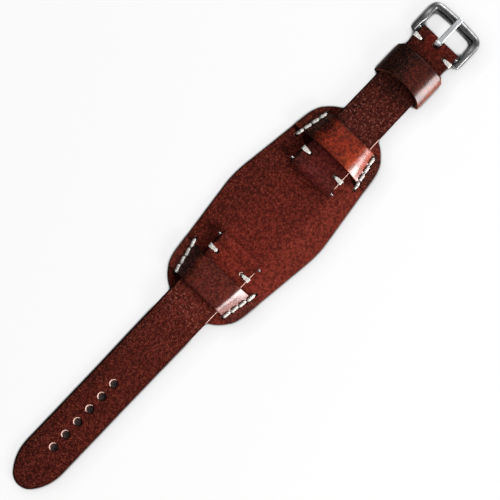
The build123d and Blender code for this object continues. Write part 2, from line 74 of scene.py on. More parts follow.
def placed(name, data):
    """A new object, put in the scene."""
    thing = bpy.data.objects.new(name, data)
    bpy.context.scene.collection.objects.link(thing)
    return thing


def put(tree, kind, *values, out=0, **named):
    """One output of a new shader node. Lower-case names are its settings. The others, and the
    values in order, are its inputs, which are set, or joined to another node's output."""
    node = tree.nodes.new("ShaderNode" + kind)
    fed = [(n, value) for n, value in enumerate(values) if value is not None]
    for key, value in named.items():
        if key.islower():
            setattr(node, key, value)
        else:
            fed.append((key.replace("_", " "), value))
    for key, value in fed:
        if isinstance(value, bpy.types.NodeSocket):
            tree.links.new(value, node.inputs[key])
        else:
            node.inputs[key].default_value = value
    return node.outputs[out] if node.outputs else None


def new_look(name, kind="materials"):
    """A new material or world, and its net of shader nodes with nothing in it."""
    look = getattr(bpy.data, kind).new(name)
    look.use_nodes = True
    look.node_tree.nodes.clear()
    return look, look.node_tree


def between(value, low, high, start=0.0, end=1.0, step="SMOOTHSTEP"):
    """start where value is low, end where it is high, and in between on the way."""
    return put(value.id_data, "MapRange", value, low, high, start, end, interpolation_type=step)


camera_data = bpy.data.cameras.new("photo_camera")
camera_data.lens = camera_data.sensor_width * view_height / view_width
camera = placed("photo_camera", camera_data)
camera.location = [place * mm for place in (*view_middle, view_height)]
camera.rotation_euler = (0, 0, view_turn)
bpy.context.scene.camera = camera
bpy.context.scene.view_settings.view_transform = "Standard"

for name, look in lamps.items():
    lamp_data = bpy.data.lights.new(name, "AREA")
    lamp_data.shape = "RECTANGLE"
    lamp_data.size, lamp_data.size_y = (side * mm for side in look["size"])
    lamp_data.energy = look["power"]
    lamp = placed(name, lamp_data)
    lamp.location = Vector(look["place"]) * mm
    lamp.rotation_euler = lamp.location.to_track_quat("Z", "Y").to_euler()

bpy.context.scene.world, sky = new_look("studio", "worlds")
_, way_y, way_z = put(sky, "SeparateXYZ", put(sky, "TexCoord", out="Generated")).node.outputs
rays = put(sky, "LightPath").node.outputs
seen = put(sky, "Math", rays["Is Camera Ray"], rays["Is Transmission Ray"], operation="MAXIMUM")
wall = between(way_y, -1.0, 1.0, right_wall_light, left_wall_light, "LINEAR")
ceiling = between(way_z, 0.0, wall_top, wall, ceiling_light, "LINEAR")
level = between(seen, 0.0, 1.0, ceiling, 1.0, "LINEAR")
put(sky, "OutputWorld", put(sky, "Background", white, level))

bpy.ops.mesh.primitive_grid_add(
    x_subdivisions=4, y_subdivisions=4, size=table_size * mm, location=(0, 0, -table_drop * mm)
)
table = bpy.context.object
table.name = "table"
table_paint, paint = new_look("table_paint")
matt = put(
    paint, "BsdfPrincipled", Base_Color=(table_tone, table_tone, table_tone, 1), Roughness=0.9,
    Specular_IOR_Level=0.1,
)
# Painted shade: the camera-seen white fades out where little is open above it, in corners and under
# holes.
painted_shade_occlusion = put(paint, "AmbientOcclusion", out="AO", samples=24, Distance=painted_corner_shade_reach * mm)
# Painted shadow: occlusion looking towards the left paints a soft shadow on the right side of
# things.
painted_shadow_occlusion = put(
    paint, "AmbientOcclusion", out="AO", samples=16, Distance=painted_shadow_reach * mm,
    Normal=put(paint, "CombineXYZ", Y=0.7, Z=0.7),
)
painted_soft_shadow = between(painted_shadow_occlusion, 0.0, 1.0, 1 - painted_shadow_depth, 1.0, "LINEAR")
lift = put(paint, "Emission", white, between(painted_shade_occlusion, 0.5, 0.72, 0.0, painted_soft_shadow))
camera_ray = put(paint, "LightPath", out="Is Camera Ray")
to_camera = between(camera_ray, 0.0, 1.0, 0.0, table_lift, "LINEAR")
put(paint, "OutputMaterial", put(paint, "MixShader", to_camera, matt, lift))
table.data.materials.append(table_paint)


# Pad: one thick cut of waxed leather that lies against the wrist, its edge turned by hand.
# It is punched for the bridges' stitches, and their thread lies in a groove underneath.
pad_thickness = 2.0
pad_width = 49.4
pad_tail_reach = 55.0
pad_buckle_reach = 53.5
pad_tail_end_width = 36.4
pad_buckle_end_width = 35.0
pad_corner_radius = 17.0
pad_point_radius = 46.0
rim_step = 0.6
rim_radius = 0.35
stitch_rim = 0.12
rim_turns = [math.radians(turn) for turn in (30, 60, 90)]
rim_guard = 0.35
guard_gap = 0.25
inner_gap = 0.4
far_off = 99.0
edge_wander = 0.07
wander_scale = 0.35
bridge_inner = 32.4
bridge_outer = 46.6
bridge_reach = 39.5
bridge_splay = math.radians(12.3)
bridge_thickness = 1.5
stitch_rows = {
    "tail": dict(direction=-1, foot=11.37, shift=0.45, holes=(-8.7, -4.2, -0.1, 3.8, 7.9)),
    "buckle": dict(direction=1, foot=10.93, shift=1.6, holes=(-7.8, -3.9, 0, 3.9, 7.8)),
}
flange_top = 3.7 * mm
row_inset = 0.9
stitch_hole_half_length = 0.85
stitch_hole_half_width = 0.5
groove_depth = 0.86
groove_shoulders = (0.55, 1.25)
groove_reach = 10
groove_cuts = (-1.4, -0.95, -0.5, 0, 0.5, 0.95, 1.4)


def around(loop):
    """Each point of a closed outline, between the one before it and the one after."""
    return zip(loop[-1:] + loop[:-1], loop, loop[1:] + loop[:1])


def spaced(loop, step):
    """The same closed outline, with points added so that none are further apart than step."""
    points = []
    for _, here, after in around(loop):
        count = max(1, math.ceil((after - here).length / step - 0.01))
        points += [here.lerp(after, n / count) for n in range(count)]
    return points


def rounded(corners, step):
    """Points round a closed outline with rounded corners, each given as x, y and radius."""
    loop = []
    for before, here, after in around(corners):
        corner, radius = Vector(here[:2]), here[2]
        back = (Vector(before[:2]) - corner).normalized()
        on = (Vector(after[:2]) - corner).normalized()
        half = back.angle(on) / 2
        middle = corner + (back + on).normalized() * radius / math.sin(half)
        start = corner + back * radius / math.tan(half) - middle
        end = corner + on * radius / math.tan(half) - middle
        turn = math.atan2(start.x * end.y - start.y * end.x, start.dot(end))
        count = max(2, math.ceil(radius * abs(turn) / step))
        for n in range(count + 1):
            cos, sin = math.cos(turn * n / count), math.sin(turn * n / count)
            reach = Vector((start.x * cos - start.y * sin, start.x * sin + start.y * cos))
            loop.append(middle + reach)
    return spaced(loop, step)


def oval(x, y, half_length, half_width, turn=0.0, count=16):
    """A punched hole, run clockwise, so that the leather is on its left as on an outline's."""
    loop = []
    for n in range(count):
        a = -2 * math.pi * n / count
        along, across = half_length * math.cos(a), half_width * math.sin(a)
        loop.append(Vector((x + along * math.cos(turn) - across * math.sin(turn),
                            y + along * math.sin(turn) + across * math.cos(turn))))
    return loop


def outward(loop):
    """At each point of an outline, the direction out of the leather."""
    ways = []
    for before, here, after in around(loop):
        way = (here - before).normalized() + (after - here).normalized()
        ways.append(Vector((way.y, -way.x)).normalized())
    return ways


def wandering(loop, reach=edge_wander):
    """A hand-cut outline: the same one, a little uneven."""
    return [
        point + way * reach * noise.noise(Vector((point.x, point.y, 0)) * wander_scale)
        for point, way in zip(loop, outward(loop))
    ]


def tree_of(points):
    """Flat places, sorted so that the nearest one is found fast."""
    tree = KDTree(len(points))
    for n, point in enumerate(points):
        tree.insert((point[0], point[1], 0), n)
    tree.balance()
    return tree


def off(tree, place):
    """How far a flat place is from the nearest of a tree's points."""
    return tree.find((place[0], place[1], 0))[2]


def inside(point, loop):
    """Whether a point of the flat cut lies in a hole, which runs clockwise round it."""
    return all((after - here).cross(point - here) < 0 for _, here, after in around(loop))


def new_piece(name, spots, faces, even_out=True, **marks):
    """A piece through these places in mm. marks are the values that each place carries."""
    mesh = bpy.data.meshes.new(name)
    mesh.from_pydata([Vector(spot) * mm for spot in spots], [], faces)
    if even_out:
        shape = bmesh.new()
        shape.from_mesh(mesh)
        bmesh.ops.recalc_face_normals(shape, faces=shape.faces)
        shape.to_mesh(mesh)
        shape.free()
    for key, values in marks.items():
        kind, field = ("FLOAT_VECTOR", "vector") if key == "flat" else ("FLOAT", "value")
        mesh.attributes.new(key, kind, "POINT").data.foreach_set(field, values)
    mesh.shade_smooth()
    return placed(name, mesh)


def cut_leather(name, outline, holes, thickness, grid, form, extra=(), rim=rim_radius,
                hole_rim=stitch_rim):
    """Leather cut flat as outlined and punched, with rounded rims, and then bent by form.

    form(s, t, h) gives the place of the point s along and t across the flat cut, h from 0 on the
    flesh side to 1 on the grain side. Each point keeps its flat place and its distances from the
    cut edge and from the nearest hole, which the dye uses."""
    loops = [(outline, outward(outline), rim)]
    loops += [(hole, outward(hole), hole_rim) for hole in holes]
    rims = [[point - way * lip for point, way in zip(loop, ways)] for loop, ways, lip in loops]
    flat, owner, ties = [], [], []
    for number, loop in enumerate(rims):
        first, count = len(flat), len(loop)
        flat += loop
        owner += [number] * count
        ties += [(first + n, first + (n + 1) % count) for n in range(count)]
    near_rim = tree_of(flat)
    guards = [
        point - way * (lip + rim_guard)
        for loop, ways, lip in loops for point, way in zip(loop, ways)
    ]
    guards = [p for p in guards if off(near_rim, p) > guard_gap]
    near = tree_of(flat + guards)
    free = [Vector((s, t)) for s in grid[0] for t in grid[1]] + [Vector(p) for p in extra]
    free = [
        p for p in free
        if off(near, p) > inner_gap and not any(inside(p, hole) for hole in rims[1:])
    ]
    places, _, triangles, origin, _, _ = delaunay_2d_cdt(flat + guards + free, ties, [], 1, 1e-5)
    owners = [owner[o[0]] if o and o[0] < len(owner) else -1 for o in origin]
    triangles = [
        t for t in triangles if not (owners[t[0]] > 0 and len({owners[n] for n in t}) == 1)
    ]
    edge_tree = tree_of(outline)
    hole_tree = tree_of([point for hole in holes for point in hole]) if holes else None
    spots, faces, of_flat = [], [], {}
    for triangle in triangles:
        for n in triangle:
            if n not in of_flat:
                s, t = places[n]
                gaps = off(edge_tree, (s, t)), off(hole_tree, (s, t)) if holes else far_off
                of_flat[n] = len(spots)
                spots += [(s, t, 1.0, *gaps), (s, t, 0.0, *gaps)]
        a, b, c = (of_flat[n] for n in triangle)
        faces += [(a, b, c), (c + 1, b + 1, a + 1)]
    made = {tied: n for n, o in enumerate(origin) for tied in o if tied < len(flat)}
    first = 0
    for number, (loop, ways, lip) in enumerate(loops):
        count = len(loop)
        rings = [[of_flat[made[first + n]] for n in range(count)]]
        for turn, grain_side in [(a, 1) for a in rim_turns] + [(a, 0) for a in rim_turns[::-1]]:
            drop = lip / thickness * (1 - math.cos(turn))
            height = 1 - drop if grain_side else drop
            gap = lip - lip * math.sin(turn)
            gaps = (far_off, gap) if number else (gap, far_off)
            rings.append(list(range(len(spots), len(spots) + count)))
            spots += [(*(point - way * gap), height, *gaps) for point, way in zip(loop, ways)]
        rings.append([n + 1 for n in rings[0]])
        for upper, lower in pairwise(rings):
            for n in range(count):
                m = (n + 1) % count
                faces.append((upper[n], lower[n], lower[m], upper[m]))
        first += count
    return new_piece(
        name, [form(*spot[:3]) for spot in spots], faces,
        flat=[value for spot in spots for value in spot[:3]],
        from_edge=[spot[3] for spot in spots], from_hole=[spot[4] for spot in spots],
    )


def portion(value, low, high):
    """How far value is on the way from low to high, 0 before it and 1 past it."""
    return min(1.0, max(0.0, (value - low) / (high - low)))


def soft_step(value, low, high):
    """0 below low, 1 above high, and smooth between."""
    share = portion(value, low, high)
    return share * share * (3 - 2 * share)


def evenly(low, high, step):
    """Values from low to high, both included, about a step apart."""
    count = max(1, round(abs(high - low) / step))
    return [low + (high - low) * n / count for n in range(count + 1)]


def bridge_foot(row, x):
    """Half the width between a bridge's feet on the pad, this far from the pad's middle."""
    return row["foot"] + (bridge_outer - x) * math.tan(bridge_splay)


def row_place(row, side, along):
    """A place on one stitch row, this far from the row's middle towards the bridge's outer end."""
    reach = bridge_reach - row["shift"]
    offset = bridge_foot(row, reach) + bridge_thickness + row_inset
    return Vector((
        row["direction"] * (reach + along * math.cos(bridge_splay)),
        side * (offset - along * math.sin(bridge_splay)),
    ))


def row_turn(row, side):
    """How far a stitch row is turned from X."""
    return -row["direction"] * side * bridge_splay


pad_corners = [
    (-pad_tail_reach, pad_tail_end_width / 2, pad_corner_radius),
    (0, pad_width / 2, pad_point_radius),
    (pad_buckle_reach, pad_buckle_end_width / 2, pad_corner_radius),
]
pad_outline = rounded(
    [(x, -y, radius) for x, y, radius in pad_corners] + pad_corners[::-1], rim_step
)
pad_rows = [(row, side) for row in stitch_rows.values() for side in (-1, 1)]
pad_holes = [
    oval(*row_place(row, side, along), stitch_hole_half_length, stitch_hole_half_width,
         row_turn(row, side))
    for row, side in pad_rows
    for along in row["holes"]
]
groove_points = [
    row_place(row, side, along) + Vector((0, across))
    for row, side in pad_rows
    for along in evenly(-groove_reach, groove_reach, rim_step)
    for across in groove_cuts
]


def under_groove(s, t):
    """How deep the groove for the stitches' backs is at a place under the pad."""
    depth = 0
    for row, side in pad_rows:
        away = Vector((s, t)) - row_place(row, side, 0)
        turn = row_turn(row, side)
        along = row["direction"] * (away.x * math.cos(turn) + away.y * math.sin(turn))
        across = away.y * math.cos(turn) - away.x * math.sin(turn)
        end = max(row["holes"][0] - along, along - row["holes"][-1])
        reach = math.hypot(max(0, end), across)
        depth = max(depth, groove_depth * (1 - soft_step(reach, *groove_shoulders)))
    return depth


def form_pad(s, t, h):
    """The flat pad, grooved on its flesh side."""
    low = 0.0 if h > 0.2 else under_groove(s, t)
    return (s, t, low + h * pad_thickness)


def rgb(red, green, blue):
    """A colour as it is read off a picture, from 0 to 255, as the light that it reflects."""
    share = [c / 255 for c in (red, green, blue)]
    return [c / 12.92 if c <= 0.04045 else ((c + 0.055) / 1.055) ** 2.4 for c in share] + [1]


def maths(operation, a, b=0.0):
    return put(a.id_data, "Math", a, b, operation=operation)


def times(a, b):
    return maths("MULTIPLY", a, b)


def plus(a, b):
    return maths("ADD", a, b)


def blend(share, low, high):
    """One colour turning into another where share goes from 0 to 1."""
    low, high = (rgb(*dye) if isinstance(dye, tuple) else dye for dye in (low, high))
    unused = [None] * 5
    return put(share.id_data, "Mix", share, *unused, low, high, data_type="RGBA", out=2)


def surfaced(tree, **inputs):
    """Ends a material's net in one surface."""
    put(tree, "OutputMaterial", put(tree, "BsdfPrincipled", **inputs))


def grain_noise(place, scale, detail=4.0, roughness=0.6):
    return put(place.id_data, "TexNoise", place, None, scale, detail, roughness, out="Fac")


def dyed_leather(name, tones, painted_left_shade, painted_right_light, speck, crackle=(), edge=(18, 7, 6),
                 edge_width=(0.5, 1.1), raw_and_lit_hole_wall=(150, 104, 92), rim_highlight_until=0.0, flange=None,
                 speckling=0.4, wax=0.0, wax_roughness=0.25, roughness=0.5):
    """Waxed leather: its dye along X, painted light and shade on its sides, and how it cracks.

    tones are places along X with the dye there. The left side's colour is painted shade, away from
    the lamp, and the right side's colour is painted light and highlight, towards it, each with
    where it sets in and how strongly. speck is the colour of the rubbed grain, crackle gives runs
    of X where the wax has cracked, and edge is the burnished edge; the keeper's lighter edge is a
    painted rim highlight. The pale colour in the punched holes is raw cut leather, painted only on
    walls that face the lamp, so partly a painted highlight. Where an end place along X is given, a
    pale highlight line is painted on the right edge's top rim from the lug out to it. flange is the
    dye where a bridge lies flat on the pad."""
    leather, tree = new_look(name)
    flat = put(tree, "Attribute", attribute_name="flat", out="Vector")
    from_edge, from_hole = (
        put(tree, "Attribute", attribute_name=key, out="Fac") for key in ("from_edge", "from_hole")
    )
    x, y, z = put(tree, "SeparateXYZ", put(tree, "TexCoord", out="Object")).node.outputs
    cut = put(tree, "SeparateXYZ", flat, out="Z")

    cloud = grain_noise(flat, 0.13, 3.0)
    mottle = grain_noise(flat, 0.75, 6.0, 0.65)
    grit = grain_noise(flat, 1.8, 5.0, 0.72)
    wander = times(maths("SUBTRACT", cloud, 0.5), 0.016)

    low, high = tones[0][0], tones[-1][0]
    along = plus(x, wander)
    dye = put(tree, "ValToRGB", between(along, low * mm, high * mm, step="LINEAR"))
    stops = dye.node.color_ramp.elements
    while len(stops) < len(tones):
        stops.new(0.5)
    for stop, (place, colour) in zip(stops, tones):
        stop.position = (place - low) / (high - low)
        stop.color = rgb(*colour)

    across = plus(y, wander)
    # Painted shade on the left side, away from the lamp, and painted light on the right side,
    # towards it.
    for side, (colour, start, end, strength) in ((1, painted_left_shade), (-1, painted_right_light)):
        here = between(across, side * start * mm, side * end * mm, 0, strength)
        dye = blend(here, dye, colour)
    if flange:
        dye = blend(between(z, flange_top + 0.4 * mm, flange_top), dye, flange)

    darker = put(tree, "HueSaturation", 0.5, 1.0, 0.44, Color=dye)
    dye = blend(between(mottle, 0.45, 0.57, 0.0, 0.9), dye, darker)
    rubbed = times(between(grit, 0.5, 0.61, 0.0, speckling), between(mottle, 0.58, 0.42, 0.3, 1.0))
    dye = blend(rubbed, dye, speck)

    creased = put(tree, "Mapping", flat, None, (0, 0, math.radians(38)), (1, 0.45, 1))
    shove = put(tree, "TexNoise", flat, None, 0.6, 4.0, out="Color")
    bent = put(tree, "VectorMath", shove, (1.6, 1.6, 1.6), creased, operation="MULTIPLY_ADD")
    cells = put(tree, "TexVoronoi", bent, feature="DISTANCE_TO_EDGE", out="Distance", Scale=0.8)
    broken = between(grain_noise(flat, 0.9, 4.0), 0.48, 0.62)
    cracks = times(between(cells, 0.12, 0.02), broken)
    cracked = None
    for start, end, colour, strength in crackle:
        middle, half = (start + end) / 2 * mm, abs(end - start) / 2 * mm
        away = maths("ABSOLUTE", maths("SUBTRACT", along, middle))
        worn = times(cracks, between(away, half * 1.1, half * 0.5, 0.0, strength))
        dye = blend(worn, dye, colour)
        cracked = worn if cracked is None else maths("MAXIMUM", cracked, worn)

    ragged = plus(from_edge, times(mottle, 0.9))
    burnt = between(ragged, edge_width[0] + 0.45, edge_width[1] + 0.45, 0.95, 0.0)
    # The burnished edge dye is real; laying it on fuller on the left side than the right is painted
    # shade, away from the lamp.
    left_edge_painted_shade = between(y, -0.004, 0.004, 0.55, 1.0)
    dye = blend(times(burnt, left_edge_painted_shade), dye, edge)
    # Darker round and inside every hole, in the edge colour.
    dye = blend(between(from_hole, 0.25, 0.9, 0.6, 0.0), dye, edge)
    # Hole walls that face the lamp's side take the pale raw-leather colour and the others don't:
    # raw cut leather, shown as a painted highlight on the lit side of each hole.
    facing = put(tree, "SeparateXYZ", put(tree, "NewGeometry", out="Normal"), out="Y")
    lit_hole_wall_painted = times(between(from_hole, 0.47, 0.38), between(facing, -0.02, -0.25))
    dye = blend(lit_hole_wall_painted, dye, raw_and_lit_hole_wall)
    # A pale line painted along the right edge's top rim, from just past the lug out along X: a
    # painted highlight where the lamp catches the rounded rim.
    if rim_highlight_until:
        near_middle = maths("ABSOLUTE", x)
        painted_rim_highlight = times(between(cut, 0.8, 0.87, 0.0, 0.9), between(y, -0.0085, -0.0095))
        painted_rim_highlight = times(painted_rim_highlight, between(from_edge, 0.36, 0.28))
        for start, end in ((23.7, 25.3), (rim_highlight_until, rim_highlight_until - 1.5)):
            painted_rim_highlight = times(painted_rim_highlight, between(near_middle, start * mm, end * mm))
        dye = blend(painted_rim_highlight, dye, (216, 172, 160))
    flesh = between(cut, 0.06, 0.0)
    suede = blend(between(grit, 0.35, 0.65), (78, 46, 32), (132, 90, 64))
    suede = blend(between(cloud, 0.4, 0.65, 0.0, 0.5), suede, (92, 54, 37))
    dye = blend(flesh, dye, suede)

    pores = put(tree, "TexVoronoi", flat, feature="SMOOTH_F1", out="Distance", Scale=1.9)
    relief = plus(plus(times(grit, 0.5), pores), times(mottle, 0.8))
    if cracked is not None:
        relief = plus(relief, times(cracked, 1.2))
    rub = between(mottle, 0.35, 0.65, roughness - 0.08, roughness + 0.14)
    surfaced(
        tree, Base_Color=dye, Roughness=plus(rub, times(flesh, 0.3)),
        Normal=put(tree, "Bump", Strength=0.4, Distance=0.00016, Height=relief),
        Specular_IOR_Level=0.05, Coat_Roughness=wax_roughness, Coat_IOR=1.7,
        Coat_Weight=times(
            between(from_edge, 0.1, 0.6, 0.0, wax), between(y, 0.003, 0.011, 1.0, 0.3)
        ),
    )
    return leather


def finish_piece(piece, material, body, slot, *nodes):
    """A piece gets its finish, rides on its body and stands for its CAD nodes."""
    piece.data.materials.append(material)
    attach(piece, body)
    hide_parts(*nodes)


pad = cut_leather(
    "pad_leather", wandering(pad_outline), pad_holes, pad_thickness,
    (evenly(-56, 56, 1.5), evenly(-25, 25, 1.5)), form_pad, groove_points,
)
pad_dye = dyed_leather(
    "pad_dye",
    tones=[
        (-55, (98, 32, 25)), (-25, (116, 38, 30)), (0, (100, 32, 25)),
        (27, (88, 28, 22)), (54, (78, 25, 20)),
    ],
    # painted shade on the pad's left side, painted light on its right, lamp side
    painted_left_shade=((66, 21, 16), 5, 16, 0.6), painted_right_light=((140, 54, 42), 8, 17, 0.5),
    speck=(168, 84, 64), edge_width=(0.15, 0.5), speckling=0.6,
)
finish_piece(pad, pad_dye, "pad", "pad_leather", "pad")


# Strap halves: long strips of the same leather, each folded back round its lug spring bar and
# glued to its own thinned end. The tail is punched with six holes and steps down off the pad,
# and the buckle half is folded again round the buckle's bar, with a slot there for the tongue.
strap_thickness = 2.0
strap_z = pad_thickness + 0.3
lug_bar_x = 22.0
lug_fold_radius = 2.2
lug_bar_z = strap_z + lug_fold_radius
bar_hole_radius = 0.95
flap_thickness = 0.7
flap_end = 33.0
flap_skive = 4.0
flap_z = strap_z + flap_thickness
lug_top_z = flap_z + strap_thickness
pinch_end = 26.5
settle_end = 36.0
half_lug_width = 10.85
fold_steps = 14
fold_run_step = 0.6
tail_tip = 157.08
tail_half_width = 10.3
tail_point = 140.97
tail_nose_radius = 7.0
tail_side_radius = 21.23
level = (0, strap_z, 1, strap_z)
thick = (0, strap_thickness, 1, strap_thickness)
tail_drop = (57.0, strap_z, 69.0, 0)
level_step = 0.9
tail_hole_radius = 1.62
tail_holes = [135.3 - 7.35 * n for n in range(6)]
buckle_bar_x = 98.8
buckle_bar_z = 2.3
buckle_fold_radius = 2.0
buckle_flap_z = 0.7
buckle_flap_end = 90.0
buckle_pinch_end = buckle_bar_x - 3.4
buckle_neck_half = 10.05
buckle_half_width = 9.9
tongue_slot_start = 96.4
tongue_slot_half = 1.5
tongue_slot_corner = 0.8
lug_tack_x = 28.3
buckle_tack_x = 95.2
tack_hole_inset = 3.6
tack_hole_radius = 0.75
punched_rim = 0.45


def eased(x, x0, z0, x1, z1):
    """A height that goes smoothly from z0 at x0 to z1 at x1 and is level outside them."""
    share = soft_step(x, min(x0, x1), max(x0, x1))
    return z0 + (z1 - z0) * (share if x1 > x0 else 1 - share)


def pair(x, top, under):
    """A place on the grain side and the one below it on the flesh side."""
    return Vector((x, top)), Vector((x, under))


def spoke(turn):
    """The way that points this far round from the first axis, in radians."""
    return Vector((math.cos(turn), math.sin(turn)))


def fold(bar_x, bar_z, radius, turns):
    """Pairs round a bar's hole, from one turn to the next."""
    bar = Vector((bar_x, bar_z))
    return [(bar + spoke(turn) * radius, bar + spoke(turn) * bar_hole_radius) for turn in turns]


def sloped(start, end, tops, unders, step=fold_run_step):
    """Pairs from start to end, whose two heights are each a sum of eased heights."""
    return [
        pair(x, sum(eased(x, *top) for top in tops), sum(eased(x, *under) for under in unders))
        for x in evenly(start, end, step)
    ]


def lug_end():
    """The folded lug end, from its flap's end to where the strap is a single thickness."""
    settle = (flap_end, 0, settle_end, -flap_thickness)
    flap = sloped(
        flap_end, lug_bar_x, [level, (flap_end - flap_skive, 0, flap_end, 0.45)],
        [(pinch_end, flap_z, lug_bar_x, lug_bar_z - bar_hole_radius)],
    )
    turns = evenly(-math.pi / 2, -3 * math.pi / 2, math.pi / fold_steps)[1:]
    over = sloped(
        lug_bar_x, settle_end,
        [(lug_bar_x, lug_bar_z + lug_fold_radius, pinch_end, lug_top_z), settle],
        [(lug_bar_x, lug_bar_z + bar_hole_radius, pinch_end, flap_z), settle],
    )
    return flap + fold(lug_bar_x, lug_bar_z, lug_fold_radius, turns) + over[1:]


def buckle_end():
    """The folded buckle end, from where the strap leaves single thickness to the flap's end."""
    over = sloped(
        buckle_flap_end, buckle_bar_x, [level, thick],
        [(buckle_pinch_end, strap_z, buckle_bar_x, buckle_bar_z + bar_hole_radius)],
    )
    turns = evenly(math.pi / 2, -math.pi / 2, math.pi / fold_steps)[1:]
    back = sloped(
        buckle_bar_x, buckle_flap_end,
        [(buckle_bar_x, buckle_bar_z - buckle_fold_radius, buckle_pinch_end, buckle_flap_z),
         (buckle_flap_end + 2.5, 0, buckle_flap_end, 0.5)],
        [(buckle_bar_x, buckle_bar_z - bar_hole_radius, buckle_pinch_end, strap_z)],
    )
    return over[1:] + fold(buckle_bar_x, buckle_bar_z, buckle_fold_radius, turns) + back[1:]


def running(steps):
    """How far along each place is, from the steps between them."""
    return [0.0] + list(accumulate(step.length for step in steps))


def run_of(pairs):
    """How far along the flat strip each pair is."""
    return running(
        (next_grain + next_flesh - grain - flesh) / 2
        for (grain, flesh), (next_grain, next_flesh) in pairwise(pairs)
    )


def step_at(run, s):
    """Which step of a run s lies in, and how far along it."""
    n = min(len(run) - 2, max(0, bisect.bisect(run, s) - 1))
    return n, (s - run[n]) / (run[n + 1] - run[n])


def at_pairs(pairs, run, s, h):
    """The place s along a run of pairs, h of the way from the flesh side to the grain side."""
    n, share = step_at(run, s)
    grain, flesh = (pairs[n][side].lerp(pairs[n + 1][side], share) for side in (0, 1))
    return flesh.lerp(grain, h)


def uneven(s, t, layer, scale):
    """How far leather rises or dips at a place on it, from -1 to 1. Each layer has its own."""
    return noise.noise(Vector((s, t, layer)) * scale)


def bent_strip(pairs, direction, lift=0.035):
    """The form that bends a flat strip along pairs, a little uneven on its grain side."""
    run = run_of(pairs)

    def form(s, t, h):
        x, z = at_pairs(pairs, run, s, h)
        return (direction * x, t, z + lift * h * uneven(s, t, 5, 0.22))

    return form


def flat_at(pairs, run, x, layers, side=1):
    """Where on the flat strip a layer, given as its pairs' numbers, lies over x."""
    for n in layers:
        here, after = pairs[n][side].x, pairs[n + 1][side].x
        if min(here, after) <= x <= max(here, after):
            return run[n] + (run[n + 1] - run[n]) * (x - here) / (after - here)
    raise ValueError(f"no layer of the strip lies over {x}")


def taper(x, x0, half0, x1, half1):
    """Half a width that goes straight from half0 at x0 to half1 at x1."""
    return half0 + (half1 - half0) * portion(x, x0, x1)


def tail_half(x):
    """Half the tail's width at x, up to where its point starts."""
    return taper(x, lug_bar_x, half_lug_width, tail_holes[-1], tail_half_width)


def buckle_half(x):
    """Half the buckle strap's width at x."""
    if x < pad_buckle_reach:
        return taper(x, lug_bar_x, half_lug_width, pad_buckle_reach, buckle_neck_half)
    return taper(x, pad_buckle_reach, buckle_neck_half, buckle_bar_x, buckle_half_width)


def mirrored(points):
    return [Vector((point.x, -point.y)) for point in points]


def four_sided(x0, y0, x1, y1, radius, step):
    """Points round a four-sided cut with rounded corners, first along X."""
    return rounded([(x0, y0, radius), (x1, y0, radius), (x1, y1, radius), (x0, y1, radius)], step)


def tack_holes(pairs, run, half, places):
    """A hole on each side for each layer of leather that a tack goes through."""
    return [
        oval(flat_at(pairs, run, x, layers), side * (half(x) - tack_hole_inset),
             tack_hole_radius, tack_hole_radius, count=12)
        for x, layers in places
        for side in (-1, 1)
    ]


across_strap = evenly(-11, 11, 1.3)
lug_pairs = lug_end()
fold_start = len(evenly(flap_end, lug_bar_x, fold_run_step)) - 1
fold_end = fold_start + fold_steps
lug_flap = range(fold_start)

tail_pairs = lug_pairs + sloped(
    settle_end, tail_tip, [tail_drop, thick], [tail_drop], level_step
)[1:]
tail_run = run_of(tail_pairs)
tail_over = range(fold_end, len(tail_pairs) - 1)
point_s = flat_at(tail_pairs, tail_run, tail_point, tail_over)
side_middle = Vector((point_s, tail_half_width - tail_side_radius))
nose_reach = math.sqrt(
    (tail_side_radius - tail_nose_radius) ** 2 - (tail_side_radius - tail_half_width) ** 2
)
nose_middle = Vector((point_s + nose_reach, 0))
nose_turn = math.atan2(tail_side_radius - tail_half_width, nose_reach)
tail_edge = [
    Vector((s, tail_half(flesh.x)))
    for s, (_, flesh) in zip(tail_run, tail_pairs)
    if flesh.x <= tail_point - 0.4
]
tail_side = [
    side_middle + tail_side_radius * spoke(a) for a in evenly(nose_turn, math.pi / 2, 0.03)
] + tail_edge[::-1]
tail_nose = [
    nose_middle + tail_nose_radius * spoke(a) for a in evenly(-nose_turn, nose_turn, 0.09)[1:-1]
]
tail_outline = mirrored(tail_side[::-1]) + tail_nose + tail_side
punched = [
    oval(flat_at(tail_pairs, tail_run, x, tail_over), 0, tail_hole_radius, tail_hole_radius,
         count=28)
    for x in tail_holes
]
tail_tack_holes = tack_holes(
    tail_pairs, tail_run, tail_half, [(lug_tack_x, lug_flap), (lug_tack_x, tail_over)]
)
tail_strap = cut_leather(
    "tail_strap_leather", wandering(spaced(tail_outline, rim_step)), tail_tack_holes + punched,
    strap_thickness, (tail_run, across_strap), bent_strip(tail_pairs, -1), hole_rim=punched_rim,
)
tail_dye = dyed_leather(
    "tail_dye",
    tones=[
        (-157, (72, 23, 18)), (-120, (82, 26, 20)), (-80, (84, 28, 22)),
        (-50, (98, 33, 26)), (-33, (104, 30, 22)), (-26, (132, 44, 34)),
        (-19, (120, 38, 29)),
    ],
    # painted shade on the strap's left side, painted light on its right, lamp side
    painted_left_shade=((42, 14, 12), 3, 11, 0.6), painted_right_light=((86, 27, 20), 2, 10, 0.5),
    speck=(160, 80, 62), speckling=0.7,
    crackle=[(-62, -45, (166, 98, 82), 0.8), (-80, -58, (136, 72, 58), 0.5)],
    # the near-white hole-wall colour is mostly a painted highlight in the holes, and a pale
    # highlight line is painted on the right rim out to 54 mm
    edge_width=(0.35, 1.0), raw_and_lit_hole_wall=(230, 186, 172), rim_highlight_until=54.0,
)
finish_piece(tail_strap, tail_dye, "tail_half", "tail_leather", "tail_strap")

